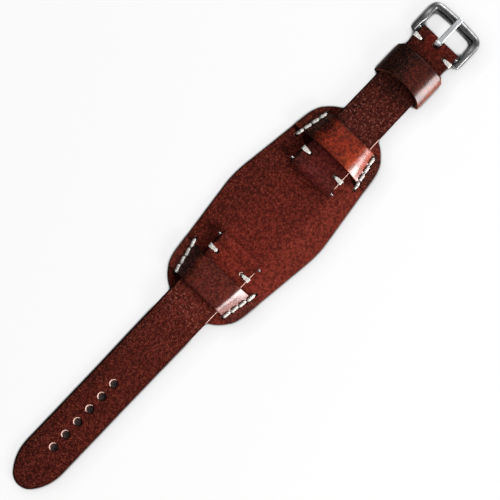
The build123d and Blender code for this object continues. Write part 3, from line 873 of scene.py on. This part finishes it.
level_pairs = lug_pairs + sloped(
    settle_end, buckle_flap_end, [level, thick], [level], level_step
)[1:]
buckle_pairs = level_pairs + buckle_end()
buckle_run = run_of(buckle_pairs)
bend_start = len(level_pairs) + len(evenly(buckle_flap_end, buckle_bar_x, fold_run_step)) - 2
buckle_over = range(fold_end, bend_start)
buckle_back = range(bend_start + fold_steps, len(buckle_pairs) - 1)
buckle_edge = [
    Vector((s, buckle_half(flesh.x))) for s, (_, flesh) in zip(buckle_run, buckle_pairs)
]
buckle_outline = mirrored(buckle_edge) + buckle_edge[::-1]
buckle_tack_holes = tack_holes(buckle_pairs, buckle_run, buckle_half, [
    (lug_tack_x, lug_flap), (lug_tack_x, buckle_over),
    (buckle_tack_x, buckle_over), (buckle_tack_x, buckle_back),
])
slot_start, slot_end = (
    flat_at(buckle_pairs, buckle_run, tongue_slot_start, layers)
    for layers in (buckle_over, buckle_back)
)
tongue_slot = four_sided(
    slot_start, tongue_slot_half, slot_end, -tongue_slot_half, tongue_slot_corner, 0.45
)
buckle_strap = cut_leather(
    "buckle_strap_leather", wandering(spaced(buckle_outline, rim_step)),
    buckle_tack_holes + [tongue_slot], strap_thickness,
    (buckle_run, across_strap), bent_strip(buckle_pairs, 1),
)
buckle_strap_dye = dyed_leather(
    "buckle_strap_dye",
    tones=[
        (19, (92, 30, 28)), (34, (88, 28, 26)), (46, (80, 28, 22)),
        # the near-black stops at 72 and 77 are a painted shadow where the keeper sits over the
        # strap
        (66, (66, 22, 16)), (72, (40, 13, 10)), (77, (34, 11, 8)),
        (90, (58, 17, 12)), (101, (98, 27, 17)),
    ],
    # painted shade on the strap's left side, painted light on its right, lamp side
    painted_left_shade=((30, 11, 9), 3, 10, 0.7), painted_right_light=((72, 23, 17), 2, 10, 0.5),
    speck=(142, 70, 54), speckling=0.5,
    crackle=[(44, 64, (156, 96, 84), 0.75), (56, 74, (130, 74, 62), 0.5)],
    # a pale highlight line is painted on the right rim out to 53 mm
    edge_width=(0.3, 0.8), rim_highlight_until=53.0,
)
finish_piece(buckle_strap, buckle_strap_dye, "buckle_half", "buckle_leather", "buckle_strap")


# Bridges: two leather bands formed over the strap halves, with room to slide under them. Each is
# stitched down to the pad at both feet and was trimmed together with it.
bridge_wall_thickness = 0.8
bridge_foot_margin = 0.4
bridge_rim = 0.25
bridge_lift = 0.05
bridge_wander = 0.05
bridge_wall_slope = (0.15, 0.55)
bridge_hole_half_length = 0.6
bridge_hole_margin = 0.45
# Each arch at three places along X: how far across its points are, and how high
bridge_arches = {
    "tail": {
        32.4: [(0, 5, 8.9, 10.4, 11.6, 13.4, 15.4, 16.2),
               (7.8, 7.78, 7.65, 7.3, 6.7, 5.5, 4.1, 3.5)],
        37.5: [(0, 5, 8.7, 10.2, 11.3, 12.8, 14.4, 15.1),
               (7.6, 7.58, 7.45, 7.1, 6.5, 5.3, 4.05, 3.5)],
        46.6: [(0, 5, 8.2, 9.3, 10.3, 11.5, 12.7, 13.3),
               (6.9, 6.85, 6.7, 6.4, 5.85, 4.9, 3.95, 3.5)],
    },
    "buckle": {
        32.4: [(0, 5, 7.6, 9, 10.9, 12.6, 15.0, 15.8),
               (8.2, 8.1, 7.85, 7.4, 6.5, 5.5, 3.85, 3.5)],
        37.5: [(0, 5, 7.5, 8.8, 10.7, 12.2, 14.0, 14.7),
               (8.05, 7.95, 7.7, 7.35, 6.5, 5.5, 3.9, 3.5)],
        46.6: [(0, 5, 7.2, 8.4, 9.9, 10.8, 12.2, 12.75),
               (7.3, 7.2, 7.0, 6.6, 5.85, 5.2, 3.85, 3.5)],
    },
}
bridge_edge_bow = {"tail": 0.2, "buckle": 1.3}
bridge_reach_across = 25.0
arch_step = 0.3
flange_z = pad_thickness + bridge_thickness
bridge_wax = dict(wax=1.0, wax_roughness=0.22, roughness=0.4)
bridge_dyes = {
    "tail": dict(
        tones=[(-46.6, (88, 28, 21)), (-40, (102, 33, 25)), (-32.4, (84, 27, 20))],
        # painted shade on the left slope, a painted highlight on the right, lamp-side slope
        painted_left_shade=((30, 8, 6), 6, 11, 0.95), painted_right_light=((150, 76, 62), 9, 12, 0.7),
        crackle=[(-47, -32, (156, 84, 68), 0.4)], flange=(94, 35, 29),
        speck=(156, 82, 62), speckling=0.55,
    ),
    "buckle": dict(
        tones=[(32.4, (104, 29, 16)), (38, (150, 43, 22)), (46.6, (118, 34, 18))],
        # painted shade on the left slope, a painted highlight on the right, lamp-side slope
        painted_left_shade=((18, 4, 3), 5, 11, 1.0), painted_right_light=((176, 70, 38), 5, 9, 0.7),
        flange=(66, 25, 20), speck=(196, 92, 56), speckling=0.5,
    ),
}


def half_pad(x):
    """Half the pad's width at x."""
    return max(point.y for point in pad_outline if abs(point.x - x) < rim_step)


def smooth_path(corners, step):
    """Points along a smooth line that starts and ends at its first and last corner."""
    corners = [Vector(corner) for corner in corners]
    knots = corners[:1] + corners + corners[-1:]
    path = []
    for a, b, c, d in zip(knots, knots[1:], knots[2:], knots[3:]):
        count = max(2, math.ceil((c - b).length / step))
        for n in range(count):
            u = n / count
            path.append(0.5 * (2 * b + (c - a) * u + (2 * a - 5 * b + 4 * c - d) * u * u
                               + (3 * b - a - 3 * c + d) * u ** 3))
    return path + corners[-1:]


def ahead_of(path, n):
    """The way that a path runs at its nth point."""
    return (path[min(n + 1, len(path) - 1)] - path[max(n - 1, 0)]).normalized()


def grain_run(pairs):
    """How far along the grain side each pair is."""
    return running(after - here for (here, _), (after, _) in pairwise(pairs))


def arch(row, x):
    """A bridge's section, as pairs of grain-side and flesh-side (y, z) from its middle out."""
    foot = bridge_foot(row, x) + bridge_thickness + bridge_foot_margin
    arches = bridge_arches["tail" if row["direction"] < 0 else "buckle"]
    low = max(place for place in list(arches)[:-1] if place <= max(x, bridge_inner))
    high = min(place for place in arches if place > low)
    share = (x - low) / (high - low)
    knots = [
        Vector(a).lerp(Vector(b), share) for a, b in zip(zip(*arches[low]), zip(*arches[high]))
    ]
    stretch = foot / knots[-1].x
    knots = [Vector((-knots[1].x, knots[1].y))] + knots
    knots += [Vector((knots[-1].x + 1.2, flange_z)), Vector((bridge_reach_across, flange_z))]
    line = smooth_path([(knot.x * stretch, knot.y) for knot in knots], arch_step)
    line = [Vector((max(0, p.x), max(flange_z, p.y))) for p in line if p.x > -0.01]
    pairs = []
    for n, grain in enumerate(line):
        along = ahead_of(line, n)
        wall = soft_step(abs(along.y), *bridge_wall_slope)
        thickness = bridge_thickness + (bridge_wall_thickness - bridge_thickness) * wall
        flesh = grain + Vector((along.y, -along.x)) * thickness
        pairs.append((grain, Vector((flesh.x, max(flesh.y, pad_thickness)))))
    return pairs, grain_run(pairs)


def formed_bridge(row):
    """The form that lays a flat band over the strap and down on the pad."""
    places = evenly(bridge_inner - 2, bridge_outer + 2, 0.5)
    arches = [arch(row, x) for x in places]

    def form(s, t, h):
        n, share = step_at(places, s)
        here, after = (at_pairs(*section, abs(t), h) for section in arches[n:n + 2])
        y, z = here.lerp(after, share)
        z += bridge_lift * h * uneven(s, t, 9, 0.2)
        return (row["direction"] * s, math.copysign(y, t), z)

    return form


def flat_across(row, x, y):
    """How far from its middle a bridge's flat band lies over y."""
    pairs, run = arch(row, x)
    return flat_at(pairs, run, y, range(len(pairs) - 1), 0)


for end, row in stitch_rows.items():
    direction = row["direction"]
    bow = bridge_edge_bow[end]
    far = [
        (x, flat_across(row, x, half_pad(direction * x)))
        for x in evenly(bridge_inner, bridge_outer, 0.7)
    ]
    left_end = [Vector(place) for place in far]
    widest, narrowest = far[0][1], far[-1][1]
    inner_edge = [
        Vector((bridge_inner + bow * (1 - (t / widest) ** 2), t))
        for t in evenly(-widest, widest, rim_step)
    ]
    outer_edge = [Vector((bridge_outer, t)) for t in evenly(-narrowest, narrowest, rim_step)]
    outline = (
        mirrored(left_end)[:-1] + outer_edge[:-1] + left_end[:0:-1] + inner_edge[:0:-1]
    )
    edge_of_bridge = tree_of(outline)
    holes = []
    for side in (-1, 1):
        for along in row["holes"]:
            place = row_place(row, side, along)
            if not bridge_inner < abs(place.x) < bridge_outer:
                continue
            t = side * flat_across(row, abs(place.x), abs(place.y))
            hole = oval(abs(place.x), t, bridge_hole_half_length, stitch_hole_half_width,
                        row_turn(row, side) * direction)
            if min(off(edge_of_bridge, point) for point in hole) > bridge_hole_margin:
                holes.append(hole)
    bridge = cut_leather(
        f"{end}_bridge_leather", wandering(outline, bridge_wander), holes, bridge_thickness,
        (evenly(31, 48, 1.0), evenly(-26, 26, 0.8)), formed_bridge(row), rim=bridge_rim,
    )
    bridge_dye = dyed_leather(
        # the pale hole-wall colour is raw leather shown only on the lamp side of each hole, so
        # partly a painted highlight
        f"{end}_bridge_dye", edge_width=(0.12, 0.4), raw_and_lit_hole_wall=(170, 120, 104),
        **bridge_wax, **bridge_dyes[end],
    )
    finish_piece(bridge, bridge_dye, "pad", f"{end}_bridge_leather", f"{end}_bridge")


# Bridge stitching: thick waxed linen thread, saddle-stitched by hand through the bridge's foot and
# the pad. Each row is one thread, which shows as plump stitches drawn down into their holes.
thread_width = 1.45
back_thread_width = 0.78
hole_thread_width = 0.7
ply_count = 3
ply_twist = 3.2
ply_radius_share = 0.27
ply_offset_share = 0.23
thread_sides = 10
row_hole_start = 0.5
thread_step = 0.2
stitch_step = 0.22
stitch_swell = (0.15, 0.62)
stitch_rise = 0.42
thread_dip = 1.5
pad_back = 0.45
linen = (246, 244, 240)
linen_shade = (204, 196, 184)
linen_soil = (190, 160, 140)


def tube(rings):
    """The faces of a closed tube through rings of places."""
    faces = []
    for here, after in pairwise(rings):
        for n in range(len(here)):
            m = (n + 1) % len(here)
            faces.append((here[n], here[m], after[m], after[n]))
    return faces + [tuple(reversed(rings[0])), tuple(rings[-1])]


def lay_thread(name, runs, twist=ply_twist):
    """Twisted thread laid along runs, each a path with the thread's width at each of its points."""
    spots, faces, flats = [], [], []
    for path, widths in runs:
        gone = 0.0
        across = ahead_of(path, 0).orthogonal().normalized()
        rings = [[] for ply in range(ply_count)]
        for n, (place, width) in enumerate(zip(path, widths)):
            ahead = ahead_of(path, n)
            across = (across - ahead * across.dot(ahead)).normalized()
            up = ahead.cross(across)
            gone += (place - path[max(n - 1, 0)]).length
            for ply in range(ply_count):
                turn = 2 * math.pi * (gone / twist + ply / ply_count)
                offset = (across * math.cos(turn) + up * math.sin(turn)) * (
                    width * ply_offset_share
                )
                rings[ply].append(list(range(len(spots), len(spots) + thread_sides)))
                for side in range(thread_sides):
                    a = 2 * math.pi * side / thread_sides
                    round_ply = across * math.cos(a) + up * math.sin(a)
                    spots.append(place + offset + round_ply * (width * ply_radius_share))
                    flats += (gone, side / thread_sides * 2, ply * 7.0)
        for layers in rings:
            faces += tube(layers)
    return new_piece(name, spots, faces, even_out=False, flat=flats)


# White linen thread: fine fibres along each ply, a little wax and a little soiling
thread_look, tree = new_look("waxed_linen")
flat = put(tree, "Attribute", attribute_name="flat", out="Vector")
fibres = grain_noise(put(tree, "Mapping", flat, Scale=(0.9, 7.0, 1.0)), 2.4, 5.0, 0.7)
soil = grain_noise(flat, 0.4, 3.0)
tone = blend(between(fibres, 0.35, 0.6), linen_shade, linen)
surfaced(
    tree, Base_Color=blend(between(soil, 0.55, 0.72, 0.0, 0.35), tone, linen_soil),
    Normal=put(tree, "Bump", Strength=0.5, Distance=0.0001, Height=fibres),
    Roughness=between(fibres, 0.3, 0.7, 0.5, 0.75), Specular_IOR_Level=0.35, Sheen_Weight=0.15,
    Sheen_Roughness=0.5,
)


def stitch(places, width, end_width):
    """One stitch's run through its corner places, thin in the holes and full between them."""
    path = smooth_path(places, stitch_step)
    gone = running(after - here for here, after in pairwise(path))
    shares = [min(run, gone[-1] - run) / (gone[-1] / 2) for run in gone]
    swells = [soft_step(share, *stitch_swell) for share in shares]
    return path, [end_width + (width - end_width) * swell for swell in swells]


def top_of_stitch(row, start, stop):
    """A stitch's corner places as along, height and sway: out of one hole, over, into the next."""
    reach = bridge_reach - row["shift"]
    inner, outer = ((x - reach) / math.cos(bridge_splay) for x in (bridge_inner, bridge_outer))
    places = []
    for hole, edge, inward in ((start, inner, 1), (stop, outer, -1)):
        on_bridge = (hole - edge) * inward > 0
        level = flange_z if on_bridge else pad_thickness
        run = [(hole - 0.1 * inward, level - thread_dip, 0), (hole, level - 0.5, 0)]
        if on_bridge:
            run.append((hole + 0.5 * inward, level + 0.36, 0.1 * inward))
        else:
            run += [
                (hole + 0.4 * inward, level + 0.3, 0.1 * inward),
                (edge - 0.4 * inward, level + 0.95, 0),
                (edge + 0.25 * inward, flange_z + 0.4, 0),
            ]
        places.append(run)
    return places[0] + [((start + stop) / 2, flange_z + stitch_rise, 0)] + places[1][::-1]


def back_of_stitch(start, stop):
    """The same under the pad, drawn up into its groove."""
    return [
        (start - 0.1, pad_back + thread_dip, 0), (start, pad_back + 0.5, 0),
        (start + 0.5, pad_back, 0), (stop - 0.5, pad_back, 0),
        (stop, pad_back + 0.5, 0), (stop + 0.1, pad_back + thread_dip, 0),
    ]


for end, row in stitch_rows.items():
    for hand, side in (("left", 1), ("right", -1)):
        runs = []
        for here, after in pairwise(row["holes"]):
            start, stop = here + row_hole_start, after - row_hole_start
            for corners, wide in (
                (top_of_stitch(row, start, stop), thread_width),
                (back_of_stitch(start, stop), back_thread_width),
            ):
                places = []
                for along, z, sway in corners:
                    x, y = row_place(row, side, along)
                    places.append((x, y + sway, z))
                path, widths = stitch(places, wide, hole_thread_width)
                for place in path:
                    place.z = max(place.z, pad_back - 0.03)
                runs.append((path, widths))
        thread = lay_thread(f"{end}_bridge_thread_{hand}", runs)
        finish_piece(thread, thread_look, "pad", "thread", f"{end}_bridge_stitching_{hand}")


# Tacks: a few turns of the same thread round the strap's edge, through one hole beside each fold.
# The turns share the hole and spread out at the edge, so that each tack is a small fan.
tack_turns = 3
tack_edge_spread = 0.68
tack_root_spread = 0.2
tack_lead = 1.15
tack_overhang = 0.22
tack_rise = 0.14
tack_crown = 0.04
tack_thread_width = 0.72
tack_hole_width = tack_thread_width * 0.8
tack_twist = 2.4
tacks = [
    ("tail_lug_tack", "tail_half", -1, lug_tack_x, tail_half, strap_z, lug_top_z),
    ("buckle_lug_tack", "buckle_half", 1, lug_tack_x, buckle_half, strap_z, lug_top_z),
    ("buckle_end_tack", "buckle_half", 1, buckle_tack_x, buckle_half, buckle_flap_z,
     strap_z + strap_thickness),
]
for name, body, direction, x, half_at, low, high in tacks:
    half = half_at(x - tack_lead)
    hole, edge = half - tack_hole_inset, half + tack_overhang
    for hand, side in (("left", 1), ("right", -1)):
        runs = []
        for turn in range(tack_turns):
            spread = turn - (tack_turns - 1) / 2
            root, rim = spread * tack_root_spread, spread * tack_edge_spread
            over = high + (tack_rise + tack_crown * (turn == 1))
            corners = [
                (root, hole + 0.05, (low + high) / 2), (root, hole + 0.08, high - 0.3),
                (root * 1.4, hole + 0.55, over), (rim * 0.8, (hole + edge) / 2, over),
                (rim, edge - 0.45, over), (rim, edge, high - 0.15),
                (rim, edge, low + 0.35), (rim, edge - 0.5, low - 0.02),
                (root, hole + 0.5, low - 0.02), (root, hole + 0.05, low + 0.4),
                (root, hole + 0.05, (low + high) / 2),
            ]
            places = [(direction * x + a, side * b, z) for a, b, z in corners]
            path = smooth_path(places, thread_step)
            runs.append((path, [
                tack_thread_width if side * place.y > hole + 0.5 else tack_hole_width
                for place in path
            ]))
        tack = lay_thread(f"{name}_thread_{hand}", runs, tack_twist)
        finish_piece(tack, thread_look, body, "thread", f"{name}_{hand}")


# Keeper: a free loop of glossy leather that slides along the strap and holds the tail down. Its
# ends meet underneath in a butt seam, closed with three turns of thread, and it leans a little.
keeper_back = 73.7
keeper_front = 89.0
keeper_bow = 2.4
keeper_lean = 1.3
keeper_shift = -0.35
keeper_half = 12.28
keeper_thickness = 1.7
keeper_top_thickness = 1.3
keeper_corner = 1.9
keeper_front_round = 1.5
keeper_top = [
    (12.28, 1.9), (12.42, 3.0), (12.3, 4.0), (11.85, 4.85), (11.1, 5.6), (9.5, 6.75), (7.7, 7.7),
    (5.6, 8.35), (3.0, 8.72), (0, 8.8),
]
keeper_seam_gap = 0.1
keeper_seam_rise = 0.5
keeper_seam_reach = 2.7
keeper_stitch_places = [81.35 + 4.2 * n for n in (-1, 0, 1)]
keeper_stitch_reach = 1.6
keeper_hole_radius = 0.4
keeper_lean_height = (2, 7)
keeper_front_run = (10.2, keeper_half)
keeper_stitch_width = 0.55
keeper_stitch_twist = 2.2


def keeper_section():
    """The loop's section from its seam round to the seam again, as (y, z) pairs."""
    pairs = []
    flat_half = keeper_half - keeper_corner
    for y in evenly(keeper_seam_gap, flat_half, 0.7):
        rise = keeper_seam_rise * (1 - soft_step(y, keeper_seam_reach - 1.2, keeper_seam_reach))
        pairs.append(pair(y, rise, keeper_thickness))
    middle = Vector((flat_half, keeper_corner))
    for turn in evenly(-75, -15, 15):
        way = spoke(math.radians(turn))
        inner = way * (keeper_corner - keeper_thickness)
        pairs.append((middle + way * keeper_corner, middle + inner))
    line = smooth_path(keeper_top, 0.5)
    for n, grain in enumerate(line):
        along = ahead_of(line, n) if n < len(line) - 1 else Vector((-1, 0))
        thickness = eased(grain.y, keeper_corner, keeper_thickness, 5, keeper_top_thickness)
        pairs.append((grain, grain + Vector((-along.y, along.x)) * thickness))
    return pairs + [
        tuple(Vector((-place.x, place.y)) for place in both) for both in pairs[-2::-1]
    ]


keeper_pairs = keeper_section()
keeper_run = grain_run(keeper_pairs)
keeper_length = keeper_run[-1]


def form_keeper(s, t, h):
    """Wraps the flat band round, its tail-side edge leaning and bowed."""
    y, z = at_pairs(keeper_pairs, keeper_run, t, h)
    top = soft_step(z, *keeper_lean_height)
    bowed = keeper_bow * top * (1 - (y / keeper_half) ** 2)
    back_edge = keeper_back - keeper_lean * (1 - top) + bowed
    front_edge = keeper_front - keeper_front_round * soft_step(abs(y), *keeper_front_run)
    x = front_edge + (s - keeper_front) * (front_edge - back_edge) / (keeper_front - keeper_back)
    return (x, y + keeper_shift, z + bridge_lift * h * uneven(s, t, 13, 0.2) * top)


keeper_outline = four_sided(keeper_back, 0, keeper_front, keeper_length, 0.3, rim_step)
seam_holes = [
    oval(x, t, keeper_hole_radius, keeper_hole_radius, count=10)
    for x in keeper_stitch_places
    for t in (keeper_stitch_reach, keeper_length - keeper_stitch_reach)
]
keeper = cut_leather(
    "keeper_leather", wandering(keeper_outline, bridge_wander), seam_holes, keeper_thickness,
    (evenly(keeper_back, keeper_front, 1.2), keeper_run), form_keeper,
)
keeper_dye = dyed_leather(
    "keeper_dye",
    tones=[(73.7, (62, 18, 12)), (81, (72, 22, 14)), (89, (62, 18, 12))],
    # painted shade over the keeper's top and left side, painted light on its right, lamp side
    painted_left_shade=((20, 6, 4), -2, 5, 0.95), painted_right_light=((138, 58, 32), 7, 12.2, 0.9),
    speck=(140, 72, 54), speckling=0.5, wax=0.6, roughness=0.38,
    # a lighter edge colour than the burnished dark: a painted highlight along the keeper's cut rims
    edge=(70, 38, 30), edge_width=(0.1, 0.35),
)
finish_piece(keeper, keeper_dye, "keeper", "keeper_leather", "keeper")

seam_corners = [(0, 0.3), (0.7, 0.3), (1, 0.65), (1, 1.55), (0.7, 1.95), (0, 2.0)]
seam_corners += [(-share, z) for share, z in seam_corners[-2::-1]]
seam_runs = []
for x in keeper_stitch_places:
    places = [(x, share * keeper_stitch_reach + keeper_shift, z) for share, z in seam_corners]
    path = smooth_path(places, thread_step)
    seam_runs.append((path, [keeper_stitch_width] * len(path)))
keeper_thread = lay_thread("keeper_thread", seam_runs, keeper_stitch_twist)
finish_piece(keeper_thread, thread_look, "keeper", "thread", "keeper_stitches")


# Spring bars: turned steel tubes with a shouldered, sprung tip at each end, two for the lugs and
# one in the buckle. They keep their machined shape and get a turned finish, ringed round the bar.
def worked_steel(name, dark, light, roughness, metal=1.0, marks=(350, 6000, 4000),
                 mark_noise=(1.0, 5.0, 0.65), handled=(260.0, 4.0), cloudy=(0.3, 0.7), depth=0.12):
    """Steel with the fine marks of its working, scaled along each axis, and cloudy from hands."""
    steel, tree = new_look(name)
    where = put(tree, "TexCoord", out="Object")
    lines = grain_noise(put(tree, "Mapping", where, Scale=marks), *mark_noise)
    surfaced(
        tree, Metallic=metal,
        Base_Color=blend(between(grain_noise(where, *handled), *cloudy), dark, light),
        Normal=put(tree, "Bump", Strength=depth, Distance=0.00002, Height=lines),
        Roughness=between(lines, 0.3, 0.7, *roughness),
    )
    return steel


bar_look = worked_steel(
    "turned_steel", (176, 176, 178), (202, 203, 205), (0.26, 0.42), marks=(400, 9000, 400),
    mark_noise=(1.0, 4.0, 0.6), handled=(700.0, 3.0), cloudy=(0.4, 0.65), depth=0.25,
)
for name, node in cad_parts.items():
    if "_bar_" in name:
        for slot in node.material_slots:
            slot.material = bar_look


# Buckle: a cast and polished steel bow, open at the back where the spring bar goes through both
# legs, with a stepped outer bar for the strap to pass over. Its edges are rounded by polishing.
frame_back = 96.2
frame_front = 112.6
frame_half = 13.4
frame_leg = 2.9
frame_leg_width = (100.8, 2.5, 102.8, frame_leg)
frame_rail = 2.5
frame_inner_half = 10.9
frame_corner_radius = 3.6
frame_bow = 0.8
frame_high = (103.0, 3.9, 108.8, 3.3)
frame_low = (96.2, 0.6, 103.0, 0.0)
frame_crown = 0.3
frame_top_round = 0.4
frame_foot_round = 0.35
frame_end_round = 0.4
ledge_middle = 109.15
ledge_width = 1.2
ledge_height = 1.5
ledge_round = 0.35
socket_radius = 0.5
socket_depth = 1.4


def steel_ring(half, low, high, top_round, foot_round, inset):
    """A section with rounded corners and a crowned top, as places across and up."""
    corners = [
        (1, low + foot_round, -90, foot_round), (1, high - top_round, 0, top_round),
        (-1, high - top_round, 90, top_round), (-1, low + foot_round, 180, foot_round),
    ]
    ring = []
    for side, level, start, radius in corners:
        if start == 90:
            ring += [(u * (half - radius), high - inset) for u in (0.6, 0.2, -0.2, -0.6)]
        for turn in evenly(start, start + 90, 18):
            a = math.radians(turn)
            reach = max(radius - inset, 0.02)
            ring.append((side * (half - radius) + reach * math.cos(a), level + reach * math.sin(a)))
    middle = (low + high) / 2
    return [(u, z - frame_crown * (u / half) ** 2 * (z > middle)) for u, z in ring]


def steel_bars(name, stations, top_round, foot_round):
    """A bar with rounded ends along stations, each a place, way, half width, underside and top."""
    ends = []
    for n, end_way in ((0, -1), (-1, 1)):
        place, way, *size = stations[n]
        place = place - way * end_way * frame_end_round
        stations[n] = (place, way, *size)
        for turn in (30, 60, 90):
            out = math.sin(math.radians(turn)) * frame_end_round
            inset = frame_end_round * (1 - math.cos(math.radians(turn)))
            ends.append((place + way * end_way * out, way, size, inset))
    middle = [(place, way, size, 0) for place, way, *size in stations]
    spots, rings = [], []
    for place, way, size, inset in ends[2::-1] + middle + ends[3:]:
        ring = steel_ring(*size, top_round, foot_round, inset)
        rings.append(list(range(len(spots), len(spots) + len(ring))))
        spots += [(place.x - way.y * u, place.y + way.x * u, z) for u, z in ring]
    return new_piece(name, spots, tube(rings))


def rail_bend(y):
    """How far the outer rail curves back at y."""
    return frame_bow * (y / frame_half) ** 2


def frame_path():
    """The middle of the bow's section, from the left leg's end round to the right leg's."""
    corner_y = frame_half - frame_corner_radius
    corner_x = frame_front - rail_bend(corner_y) - frame_corner_radius
    half = []
    for x in evenly(frame_back, corner_x, 0.8)[:-1]:
        width = eased(x, *frame_leg_width)
        half.append((Vector((x, frame_half - width / 2)), width / 2))
    for turn in evenly(90, 0, 10)[:-1]:
        width = frame_leg + (frame_rail - frame_leg) * (1 - turn / 90)
        reach = spoke(math.radians(turn)) * (frame_corner_radius - width / 2)
        half.append((Vector((corner_x, corner_y)) + reach, width / 2))
    for y in evenly(corner_y, 0, 0.8):
        half.append((Vector((frame_front - frame_rail / 2 - rail_bend(y), y)), frame_rail / 2))
    return half + [(Vector((place.x, -place.y)), width) for place, width in half[-2::-1]]


def stations_along(path, low, high):
    """Stations for a bar along a path, whose underside and top ease along X as low and high say."""
    places = [place for place, _ in path]
    return [
        (place, ahead_of(places, n), half, eased(place.x, *low), eased(place.x, *high))
        for n, (place, half) in enumerate(path)
    ]


bow = stations_along(frame_path(), frame_low, frame_high)
ledge_reach = frame_inner_half + 0.6
ledge_path = [
    (Vector((ledge_middle - rail_bend(y), y)), ledge_width / 2)
    for y in evenly(ledge_reach, -ledge_reach, 1.0)
]
ledge = stations_along(ledge_path, (0, 0.0, 1, 0.0), (0, ledge_height, 1, ledge_height))
buckle_frame = steel_bars("buckle_frame_steel", bow, frame_top_round, frame_foot_round)
ledge_bar = steel_bars("ledge_bar", ledge, ledge_round, ledge_round)
for side in (-1, 1):
    bpy.ops.mesh.primitive_cylinder_add(
        vertices=32, radius=socket_radius * mm, depth=2 * socket_depth * mm,
        location=(buckle_bar_x * mm, side * frame_inner_half * mm, buckle_bar_z * mm),
        rotation=(math.radians(90), 0, 0),
    )
    drill = bpy.context.object
    drilled = buckle_frame.modifiers.new("drilled", "BOOLEAN")
    drilled.object = drill
    drilled.solver = "EXACT"
    shape = bpy.data.meshes.new_from_object(
        buckle_frame.evaluated_get(bpy.context.evaluated_depsgraph_get())
    )
    buckle_frame.modifiers.clear()
    buckle_frame.data = shape
    bpy.data.objects.remove(drill)
both = bmesh.new()
for bar in (buckle_frame, ledge_bar):
    both.from_mesh(bar.data)
both.to_mesh(buckle_frame.data)
both.free()
bpy.data.objects.remove(ledge_bar)
buckle_frame.data.shade_smooth()
buckle_frame.data.set_sharp_from_angle(angle=math.radians(50))
frame_steel = worked_steel("frame_steel", (126, 127, 126), (168, 169, 168), (0.31, 0.44))
finish_piece(buckle_frame, frame_steel, "buckle_frame", "buckle_steel", "buckle_frame")


# Tongue: a flat steel strip rolled round the bar into an eye, with its edges rounded, which lies
# in the strap's slot and rests with its tip on the outer bar.
tongue_thickness = 1.1
tongue_half_width = 1.25
tongue_tip_half_width = 1.15
tongue_eye_radius = 1.5
tongue_rim = 0.35
tongue_eye_turns = (-35, -300)
tongue_top_knots = [(101.4, 3.68), (104.5, 3.98), (108.8, 4.43), (111.3, 4.47), (113.2, 4.4)]
tongue_under_knots = [(101.4, 2.62), (104.5, 2.88), (108.8, 3.35), (111.3, 3.36), (113.2, 3.34)]

eye_turns = [math.radians(turn) for turn in evenly(*tongue_eye_turns, 12)]
tongue_pairs = fold(buckle_bar_x, buckle_bar_z, tongue_eye_radius, eye_turns)
tops, unders = (
    smooth_path([last] + knots, 0.5)
    for last, knots in zip(tongue_pairs[-1], (tongue_top_knots, tongue_under_knots))
)
count = min(len(tops), len(unders))
tongue_pairs += [
    tuple(line[round(n * (len(line) - 1) / (count - 1))] for line in (tops, unders))
    for n in range(1, count)
]
tongue_run = run_of(tongue_pairs)
end = tongue_run[-1]
tongue_outline = rounded(
    [(0, -tongue_half_width, 0.5), (end, -tongue_tip_half_width, 0.6),
     (end, tongue_tip_half_width, 0.6), (0, tongue_half_width, 0.5)],
    0.4,
)
tongue = cut_leather(
    "buckle_tongue_steel", tongue_outline, [], tongue_thickness,
    (tongue_run, [-0.4, 0, 0.4]), bent_strip(tongue_pairs, 1, 0.0), rim=tongue_rim,
)
# Near-white and only partly metallic, so that the tongue looks bright from above: painted
# reflection standing in for the polished steel's bright reflection.
tongue_steel = worked_steel(
    "tongue_steel", (222, 226, 229), (238, 241, 243), (0.35, 0.48), metal=0.6
)
finish_piece(tongue, tongue_steel, "buckle_tongue", "buckle_steel", "buckle_tongue")
